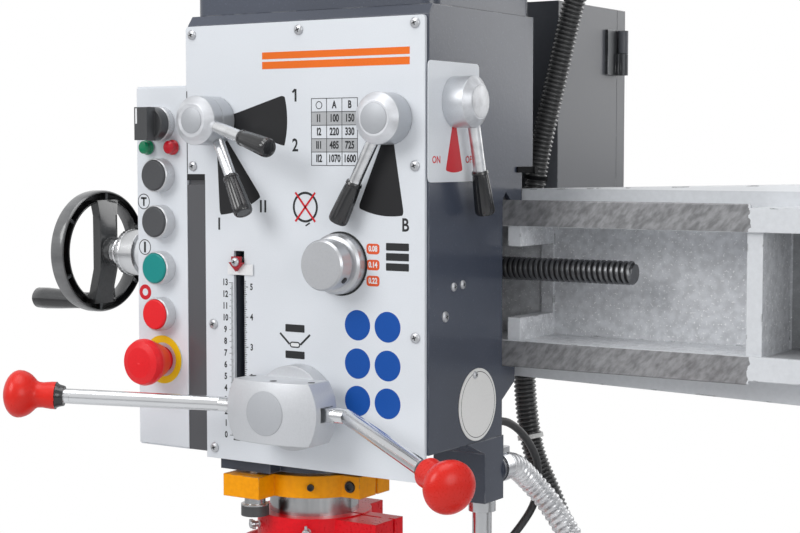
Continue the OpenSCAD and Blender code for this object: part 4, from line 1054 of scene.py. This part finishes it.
class DRILL_OT_grips(bpy.types.Operator):
    """Turns the fluted grips, the handwheel with its crank handle and the red feed knobs."""
    bl_idname = "drill.grips"
    bl_label = "Grips and knobs"

    def execute(self, context):
        feed = Vector((0, math.sin(math.radians(15)), -math.cos(math.radians(15))))
        for node, body, root, way in (
                ("range_grip", "range_selector", LEFT_HUB + FORWARD * 0.0062, lever_way(33, 12)),
                ("gear_grip", "gear_selector", LEFT_HUB + FORWARD * 0.020, lever_way(75, 13)),
                ("speed_grip", "speed_selector", RIGHT_HUB + FORWARD * 0.011, lever_way(-28, 0)),
                ("feed_grip", "feed_selector", SIDE_HUB + RIGHT * 0.017, feed)):
            self.fluted(node, body, root, way)
        self.crank()
        self.wheel()
        for side in ("left", "right"):
            self.knob(side)
        return {"FINISHED"}

    @staticmethod
    def wheel():
        """The dished handwheel: grooved rim with bridges, waisted web, hub and crank pin."""
        rim = drawn(((50, -6), (52, -9), (58, -9), (60.4, -7.2), (61, -4), (61, 5), (60.3, 7.6),
                     (59.2, 8.8), (58.6, 8.4), (58.6, 0), (51.6, 0), (51.6, 8.4), (51.2, 8.8), (50.4, 8.6),
                     (50, 8), (50, -6)))
        swept(rim, 96)
        done()
        pieces = [settle(rim, "rim", "wheel_plastic", WHEEL, SIDE)]
        bridge_reach = 0.0551
        # Painted highlight: the bridges across the groove take the lighter dark-steel finish so that they
        # show as grey highlights.
        for angle in range(5, 365, 60):
            a = math.radians(angle)
            out = Vector((0, math.sin(a), math.cos(a))) * bridge_reach
            pieces.append(bar(3.2, 7.6, "dark_steel", WHEEL + out, SIDE, 6.8, 0.0, -angle))
        web = begin(bpy.ops.mesh.primitive_cube_add, size=1)
        bpy.ops.transform.resize(value=(0.037, 0.103, 0.010))
        bpy.ops.transform.translate(value=(0, 0, 0.004))
        cuts = [((0, y, 0), (0, 1, 0)) for y in (-0.036, -0.017, 0.017, 0.036)]
        for place, way in cuts + [((0.008, 0, 0), (1, 0, 0))]:
            bpy.ops.mesh.select_all(action="SELECT")
            bpy.ops.mesh.bisect(plane_co=place, plane_no=way)
        pick(web, lambda co: abs(co.y) < 0.040)
        bpy.ops.transform.resize(value=(0.84, 1, 1), center_override=(0, 0, 0))
        # Ends forward and apart, one long edge sloped, the middle dished towards the head.
        for test, step in ((lambda co: abs(co.y) > 0.045, (0, 0, 0.004)),
                           (lambda co: co.y > 0.030, (0.003, 0, 0)),
                           (lambda co: co.y < -0.030, (-0.002, 0, 0)),
                           (lambda co: co.x > 0.011 and co.z > 0, (0, 0, -0.006)),
                           (lambda co: abs(co.y) < 0.040, (0, 0, 0.005)),
                           (lambda co: abs(co.y) < 0.020, (0, 0, 0.003))):
            pick(web, test)
            bpy.ops.transform.translate(value=step)
        done()
        pieces.append(settle(web, "web", "wheel_plastic", WHEEL, SIDE, 12))
        pieces.append(turned("hub", ((10, 0), (13, 0), (14, 1), (14, 13.5), (12.5, 14.5)), "wheel_plastic",
                             WHEEL + RIGHT * 0.0105, RIGHT))
        pieces.append(turned("pin", ((4, 0), (4, 86)), "dark_steel",
                             WHEEL - RIGHT * 0.085 - UP * 0.051, RIGHT))
        carry(joined("grooved_wheel", pieces), "traverse_wheel", "black_plastic", "handwheel")

    @staticmethod
    def fluted(node, body, root, way):
        """A tapered grip, wider at its flat end, with shallow flutes."""
        profile = ((4.9, 0), (6.1, 0), (6.6, 0.7), (6.8, 2.6), (6.2, 3.4), (6.5, 4.6), (7.2, 14), (7.8, 26),
                   (8.1, 31.5), (7.9, 34.8), (7.0, 36.2), (5.8, 36.5), (5.2, 36.0))
        # Distances from the hub's middle, in metres, of the grip's start and of the flutes' ends.
        start, low, high = 0.0565, 0.0605, 0.0915
        sides = 48
        grip = turned(node + "_black", profile, "black_plastic", root + way * start, way, sides=sides)
        turn = towards(way)

        def flute(co):
            local = turn.transposed() @ (co - root)
            return low < local.z < high and round(math.atan2(local.y, local.x) * sides / math.tau) % 6 == 0

        edit()
        pick(grip, flute)
        bpy.ops.transform.resize(value=(0.91, 0.91, 1), orient_type="GLOBAL", orient_matrix=turn,
                                 orient_matrix_type="GLOBAL", center_override=root + way * (low + high) / 2)
        done()
        carry(grip, body, "black_plastic", node)

    @staticmethod
    def crank():
        """The turned handle on the crank pin."""
        low, high = (Vector(c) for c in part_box("crank_grip"))
        inner_end = Vector((high.x, (low.y + high.y) / 2, (low.z + high.z) / 2))
        span = (high.x - low.x) / MM
        profile = ((6, 0), (8.0, 0), (8.7, 1.2), (8.4, 5), (8.5, span * 0.25), (10.0, span * 0.55),
                   (10.8, span * 0.8), (10.4, span - 3), (8.4, span - 0.6), (5, span))
        grip = turned("crank_handle", profile, "wheel_plastic", inner_end, -RIGHT, sides=44, smooth=50)
        carry(grip, "crank", "black_plastic", "crank_grip")

    @staticmethod
    def knob(side):
        """A round red knob on a dark collar, in the place of its solid."""
        node = "feed_knob_" + side
        sign, roll = (-1, math.radians(5)) if side == "left" else (1, math.radians(-18))
        lean, reach, stem = math.radians(31), 0.162, 37
        way = Vector((sign * math.cos(lean), -math.sin(lean) * math.cos(roll),
                      math.sin(lean) * math.sin(roll)))
        centre = at(-120 + sign * 64, -26, 52) + way * reach
        belly, belly_height = 19.9, 6.9
        profile = [(5.6, -stem), (6.2, -stem), (6.2, -31.1), (8.4, -31.1), (9.2, -27.5), (10.1, -25.6),
                   (10.3, -24.5), (11.5, -24.4), (11.4, -20), (10.6, -13.2), (10.8, -9.4), (11.9, -7.3),
                   (14.2, -5.1), (16.6, -2.5), (18.4, 0.7), (19.6, 4.1), (belly, belly_height)]
        for angle in range(10, 91, 8):
            a = math.radians(angle)
            profile.append((max(belly * math.cos(a), 0.4), belly_height + 12.6 * math.sin(a)))
        shape = [(radius, height + stem) for radius, height in profile]
        knob = turned(node + "_red", shape, "knob_plastic", centre - way * stem * MM, way,
                      sides=48, smooth=60)
        for finish in ("black_plastic", "chrome"):
            knob.data.materials.append(FINISHES[finish])
        collar_top, collar_end = -0.02445, -0.03115
        for face in knob.data.polygons:
            along = (face.center - centre).dot(way)
            face.material_index = 0 if along > collar_top else 1 if along > collar_end else 2
        carry(knob, "feed_" + side, "red_plastic", node)


class DRILL_OT_fasteners(bpy.types.Operator):
    """Sets the screws of the plate, head, collar, guard, pointer and tag, the hub pins and foot bolts."""
    bl_idname = "drill.fasteners"
    bl_label = "Fasteners"

    def execute(self, context):
        radius = size("screw_head") / MM
        plate = [(-233, 360), (-121, 360), (-9, 361), (-233, 249), (-9, 250), (-211.5, 115), (-8.5, 115),
                 (-211.4, 9)]
        heads = [self.cross_screw(at(x, 0, z), FORWARD, radius) for x, z in plate]
        carry(joined("plate_screws", heads), "head", "satin_metal")
        side = [self.cross_screw(at(2, y, z), RIGHT, r)
                for y, z, r in ((40, 153, 3.6), (54, 154, 3.6), (27, 130, 4.4))]
        carry(joined("side_screws", side), "head", "satin_metal")
        bolts, count, reach, foot_top = [], 8, 0.140, 0.166
        for i in range(count):
            a = math.tau * (i + 0.5) / count
            bolts.append(self.hex_bolt(Vector((reach * math.cos(a), reach * math.sin(a), foot_top)), 13.0))
        carry(joined("foot_bolts", bolts), "base", "dark_steel")
        # Middles of the depth collar and the guard's ring, on the quill's axis.
        collar, guard = at(-160, 74, -22.5), at(-160, 74, -61)
        out = Vector((27, -43.3, 0)).normalized()
        sockets = [self.socket_screw(at(-106, 52, -22.5), FORWARD, 4.7),
                   self.socket_screw(collar + out * 0.0506, out, 3.0)]
        carry(joined("collar_screws", sockets), "quill", "black_plastic")
        ways = [Vector(w).normalized() for w in ((-34, -44, 0), (27, -50, 0))]
        wings = [self.thumb_screw(guard + way * 0.0495, way) for way in ways]
        carry(joined("guard_screws", wings), "quill", "bright_steel")
        pointer = self.cross_screw(at(-184, -5, 169), FORWARD, 3.8)
        carry(joined("pointer_screw", [pointer]), "quill", "satin_metal")
        pin = ((2.9, 0), (2.9, 0.25), (2.2, 0.3))
        pins = [turned("pin", pin, "charcoal_ink", at(x, y, 77.2), UP, sides=24)
                for x, y in ((-153, -22), (-119, -39), (-87, -31))]
        carry(joined("hub_pins", pins), "feed_hub", "black_plastic")
        tag = self.cross_screw(at(3.2, 72.1, 78.6), RIGHT, 3.0)
        carry(joined("tag_screw", [tag]), "head", "satin_metal")
        return {"FINISHED"}

    @staticmethod
    def socket_screw(place, way, r):
        """A black socket screw of radius r, with a round hole."""
        return turned("head", ((r, -3), (r, 0), (r * 0.9, 0.35), (r * 0.62, 0.4), (r * 0.58, -1.4)),
                      "black_metal", place, way, sides=24)

    @staticmethod
    def thumb_screw(place, way):
        """A small bright screw with a flat thumb piece."""
        profile = ((3.4, 0), (3.4, 1.0), (2.6, 1.6), (2.6, 4.4), (3.6, 5.0), (3.6, 8.4), (2.8, 9.2))
        stem = turned("stem", profile, "satin_metal", place, way, sides=24)
        wing = bar(2.2, 13.0, "satin_metal", place + way * 0.0052, towards(way), 3.0, 0.6, 30)
        return joined("thumb_screw", [stem, wing])

    @staticmethod
    def cross_screw(place, way, r):
        """A domed screw of radius r, its cross recess painted on as two dark ink bars for the shade in it.
        """
        head = turned("head", ((r, 0), (r, 0.7), (r * 0.93, 1.3), (r * 0.72, 1.9), (r * 0.45, 2.2)),
                      "satin_metal", place, way, sides=28)
        # Painted shade: the cross recess is two dark ink bars on the dome.
        cuts = [bar(r * 0.95, r * 0.22, "ink", place + way * 0.00216, towards(way), 0.08, 0.0, angle)
                for angle in (20, 110)]
        return joined("head", [head] + cuts)

    @staticmethod
    def hex_bolt(place, r):
        """An upright hexagon head of radius r on a washer."""
        washer = turned("washer", ((r * 1.25, 0), (r * 1.25, 2.2), (r * 1.15, 2.6)), "dark_steel",
                        place, UP, sides=32)
        head = turned("head", ((r, 0), (r, 8.2), (r * 0.86, 9.6)), "dark_steel",
                      place + UP * 0.0026, UP, sides=6, smooth=0)
        return joined("bolt", [head, washer])


class DRILL_OT_scale(bpy.types.Operator):
    """Prints the depth scale beside the slot, in millimetres and inches."""
    bl_idname = "drill.scale"
    bl_label = "Depth scale"

    def execute(self, context):
        fine, broad = 0.36, 0.62
        marks = [self.ticks(*column) for column in (
            (1.0, 131, 2.2, fine, -191.6), (5.0, 27, 3.2, fine, -192.1), (10.0, 14, 4.4, fine, -192.7),
            (INCH / 16, 84, 2.2, broad, -178.0), (INCH / 4, 21, 3.2, broad, -177.5),
            (INCH, 6, 4.4, broad, -176.9))]
        for count, every, x in ((14, 10, -199), (6, INCH, -171)):
            for i in range(count):
                spot = on_plate(x, SCALE_ZERO + i * every)
                marks.append(digits(str(i), 5.2, "ink", *spot, weight=0.05, narrow=0.8))
        carry(joined("depth_scale", marks), "head", "black_plastic")
        return {"FINISHED"}

    @staticmethod
    def ticks(every, count, wide, thick, x):
        """A column of ticks from the scale's zero up: one drawn, the rest an applied array."""
        tick = bar(wide, thick, "ink", *on_plate(x, SCALE_ZERO))
        repeat = tick.modifiers.new("repeat", "ARRAY")
        repeat.count = count
        repeat.use_relative_offset = False
        repeat.use_constant_offset = True
        repeat.constant_offset_displace = (0, 0, every * MM)
        take(tick)
        bpy.ops.object.modifier_apply(modifier="repeat")
        return tick


class DRILL_OT_prints(bpy.types.Operator):
    """Prints the stripes, wedges, speed table, feed chips, strokes and plain discs on the plate."""
    bl_idname = "drill.prints"
    bl_label = "Front plate prints"

    def execute(self, context):
        orange = [bar(144.5, tall, "orange_ink", *on_plate(-86.2, z))
                  for tall, z in ((5.7, 339.9), (6.0, 332.0))]
        orange += [bar(12.4, 8.4, "chip_ink", *on_plate(-48.6, z), corner=2.6) for z in CHIP_ROWS]
        carry(joined("orange_prints", orange), "head", "yellow_paint")
        dark = [sector(radius, first, last, "charcoal_ink", hub, FRONT, 5.0)
                for radius, first, last, hub in ((75, -16.5, 16.0, LEFT_HUB), (79, -87.2, -53.0, LEFT_HUB),
                                                 (77, -113.5, -80.5, RIGHT_HUB))]
        carry(joined("selector_wedges", dark), "head", "black_plastic")
        self.table()
        self.strokes()
        over = 0.13
        pale = [digits(text, 4.4, "white_ink", *on_plate(-48.6, z, over), weight=0.05, narrow=0.78)
                for text, z in zip(("0.08", "0.14", "0.22"), CHIP_ROWS)]
        pale.append(bar(8.3, 2.9, "white_ink", *on_plate(-126, 102.4, 0.1), corner=1.3))
        carry(joined("pale_prints", pale), "head", "panel_paint")
        red = [ring(12.6, 10.7, "ink", *on_plate(-115, 216)),
               bar(1.2, 5.0, "ink", *on_plate(-112.6, 201.9), angle=-60)]
        red += [bar(31.0, 1.7, "red_ink", *on_plate(-115, 216, over), angle=angle) for angle in (50, -50)]
        red.append(ring(6.7, 3.2, "red_ink", *on_plate(-288.3, 138.8)))
        carry(joined("stop_marks", red), "head", "red_plastic")
        discs = [ring(12.3, 0, "blue_ink", *on_plate(x, z))
                 for x in (-63.7, -34.8) for z in (122, 91, 60.7)]
        carry(joined("blue_discs", discs), "head", "panel_paint")
        return {"FINISHED"}

    @staticmethod
    def strokes():
        """Figures, letters, bars, leader lines and rings in dark ink, and a black bar of painted shadow in
        the gap over the strip.
        """
        words = [digits(text, 10.2, "ink", *on_plate(x, z), weight=0.03, narrow=0.85)
                 for text, x, z in (("2", -125, 266), ("B", -18, 203), ("A", -80, 208))]
        for wide, tall, corner, angle, places in (
                (1.9, 10.2, 0, 0, ((-124.4, 307), (-205, 200.5), (-160.6, 216), (-156.0, 216))),
                (1.7, 3.6, 0, -48, ((-126.2, 310.6),)),
                (21.5, 6.0, 0.6, 0, ((-25.4, 186), (-25.4, 178), (-25.4, 170))),
                (19.5, 6.2, 0.6, 0, ((-126, 116), (-126, 94))),
                (12.0, 0.4, 0, 26, ((-61.4, 180.5),)),
                (12.0, 0.4, 0, 0, ((-61.4, 171.0),)),
                (12.0, 0.4, 0, -26, ((-61.4, 161.5),)),
                (10.5, 5.0, 2.3, 0, ((-126, 102.4),)),
                (1.7, 13.0, 0, 48, ((-136.4, 107.0),)),
                (1.7, 13.0, 0, -48, ((-115.6, 107.0),)),
                (2.2, 9.4, 0, 0, ((-288.2, 178.2),)),
                (7.0, 1.3, 0, 0, ((-187.5, 17.8),)),
                (6.4, 1.7, 0, 0, ((-289, 220.9),)),
                (1.8, 7.2, 0, 0, ((-289, 217.7),)),
                (0.8, 70.0, 0, 0, ((-239.4, 277.5),))):
            words += [bar(wide, tall, "ink", *on_plate(*place), corner=corner, angle=angle)
                      for place in places]
        words += [ring(6.8, 6.1, "ink", *on_plate(x, z)) for x, z in ((-289, 218), (-288.2, 178.2))]
        # Painted shadow: a black bar for the shade in the gap above the dark strip.
        words.append(bar(19.6, 5.2, "charcoal_ink", *on_plate(-230, 239.6)))
        carry(joined("dark_prints", words), "head", "black_plastic")

    @staticmethod
    def table():
        """The small table of spindle speeds."""
        left, right, low, high = -108.5, -63.3, 250.0, 304.0
        wide, tall = right - left, high - low
        row, column = tall / 5, wide / 3
        middle = (left + right) / 2
        shade = [bar(wide, row, "grey_ink", *on_plate(middle, high - row * (k + 0.5)), 0.06)
                 for k in (1, 3)]
        carry(joined("table_shade", shade), "head", "grey_plastic")
        lines = [bar(wide + 0.5, 0.5, "ink", *on_plate(middle, low + row * k)) for k in range(6)]
        lines += [bar(0.5, tall, "ink", *on_plate(left + column * k, (low + high) / 2)) for k in range(4)]
        rows = (("", "A", "B"), ("I1", "100", "150"), ("I2", "220", "330"), ("II1", "485", "725"),
                ("II2", "1070", "1600"))
        for k, cells in enumerate(rows):
            for c, text in enumerate(cells):
                if text:
                    spot = on_plate(left + column * (c + 0.5), high - row * (k + 0.5), 0.1)
                    lines.append(digits(text, 5.9, "ink", *spot, weight=0.04, narrow=0.72))
        lines.append(ring(3.2, 2.6, "ink", *on_plate(left + column * 0.5, high - row * 0.5)))
        carry(joined("speed_table", lines), "head", "black_plastic")


class DRILL_OT_controls(bpy.types.Operator):
    """Adds the stop's ring, the painted shade of the dial's hole and the painted shadow ring round the dial,
    the switch mark, the pointer's flag, hub faces and side plates.
    """
    bl_idname = "drill.controls"
    bl_label = "Control marks"

    def execute(self, context):
        estop = ring(21.0, 14.8, "yellow_ink", at(-268, -1, 81), FRONT, 0.25, 56)
        carry(joined("estop_ring", [estop]), "head", "yellow_paint")
        for name, radius, body, place, way in (
                ("gear_hub_face", 10.8, "gear_selector", LEFT_HUB + FORWARD * 0.032, FORWARD),
                ("speed_hub_face", 12.2, "speed_selector", RIGHT_HUB + FORWARD * 0.024, FORWARD),
                ("feed_hub_face", 12.8, "feed_selector", SIDE_HUB + RIGHT * 0.026, RIGHT)):
            face = ((radius - 0.3, 0), (radius, 0.1), (radius, 0.2), (radius - 0.4, 0.35))
            carry(turned(name, face, "satin_face", place, way, sides=48), body, "satin_metal")
        badge = turned("feed_badge", ((17.7, 0), (18.0, 0.1), (18.0, 0.3), (17.7, 0.4)), "badge_face",
                       at(-120.5, -49, 52), FORWARD, sides=56)
        carry(badge, "feed_hub", "satin_metal")
        # Painted shade: a dark disc on the dial's skirt for the shade in its hole.
        down = Vector((0.82, 0, -0.57)).normalized()
        mark = turned("dial_mark", ((2.7, -0.6), (2.7, 0.15), (2.2, 0.3)), "ink",
                      at(-80, -19.5, 171) + down * 0.0205, down, sides=24)
        carry(mark, "dial", "black_plastic")
        for name, body, slot, piece in (
                # Painted shadow: a dark ring on the plate around the dial's foot.
                ("dial_gasket", "head", "black_plastic",
                 ring(26.0, 19.0, "ink", at(-80, 0, 171), FRONT, 0.4, 64)),
                ("switch_mark", "mode", "panel_paint",
                 bar(1.9, 13.0, "white_ink", at(-272.8, -27, 291.5), FRONT, 0.1)),
                ("pointer_flag", "quill", "panel_paint",
                 bar(26.5, 9.0, "white_ink", at(-181.7, -0.6, 162.5), FRONT, 1.0)),
                ("side_plate", "head", "panel_paint",
                 bar(78, 95, "panel_paint", at(2, 39.5, 284.5), SIDE, 0.8, 4.0))):
            carry(joined(name, [piece]), body, slot)
        words = [digits(text, 5.5, "red_ink", at(2.8, y, 254.5), SIDE)
                 for text, y in (("ON", 12.5), ("OFF", 64))]
        words.append(sector(47.5, -105.8, -74.2, "red_ink", at(2.8, 39.6, 292), SIDE, 1.5))
        carry(joined("side_prints", words), "head", "red_paint")
        tag = turned("round_tag", ((29.6, 0), (30, 0.2), (30, 0.9), (29.6, 1.2)), "tag_plastic",
                     at(2, 78, 53.5), RIGHT, sides=64)
        line = ring(27.4, 26.9, "charcoal_ink", at(3.2, 78, 53.5), SIDE, 0.05, 64)
        carry(joined("round_tag", [tag, line]), "head", "satin_metal")
        return {"FINISHED"}


class DRILL_PT_pieces(bpy.types.Panel):
    """Lists the steps that dress the drill."""
    bl_label = "Radial arm drill"
    bl_idname = "DRILL_PT_pieces"
    bl_space_type = "VIEW_3D"
    bl_region_type = "UI"
    bl_category = "Drill"

    def draw(self, context):
        for step in STEPS:
            self.layout.operator(step.bl_idname)
        for group in (context.scene.drill_colours, context.scene.drill_sizes):
            box = self.layout.box()
            for key in group.__annotations__:
                box.prop(group, key)


STEPS = (DRILL_OT_stage, DRILL_OT_finishes, DRILL_OT_cords, DRILL_OT_screw, DRILL_OT_grips,
         DRILL_OT_fasteners, DRILL_OT_scale, DRILL_OT_prints, DRILL_OT_controls)
CLASSES = (DrillColours, DrillSizes, *STEPS, DRILL_PT_pieces)


def register():
    """Registers the settings, the steps and the panel."""
    for cls in CLASSES:
        bpy.utils.register_class(cls)
    bpy.types.Scene.drill_colours = PointerProperty(type=DrillColours)
    bpy.types.Scene.drill_sizes = PointerProperty(type=DrillSizes)


def unregister():
    """Removes what register added."""
    del bpy.types.Scene.drill_sizes
    del bpy.types.Scene.drill_colours
    for cls in reversed(CLASSES):
        bpy.utils.unregister_class(cls)


def main():
    """Dresses the drill."""
    register()
    for step in STEPS:
        group, name = step.bl_idname.split(".")
        getattr(getattr(bpy.ops, group), name)()


if __name__ == "__main__":
    main()
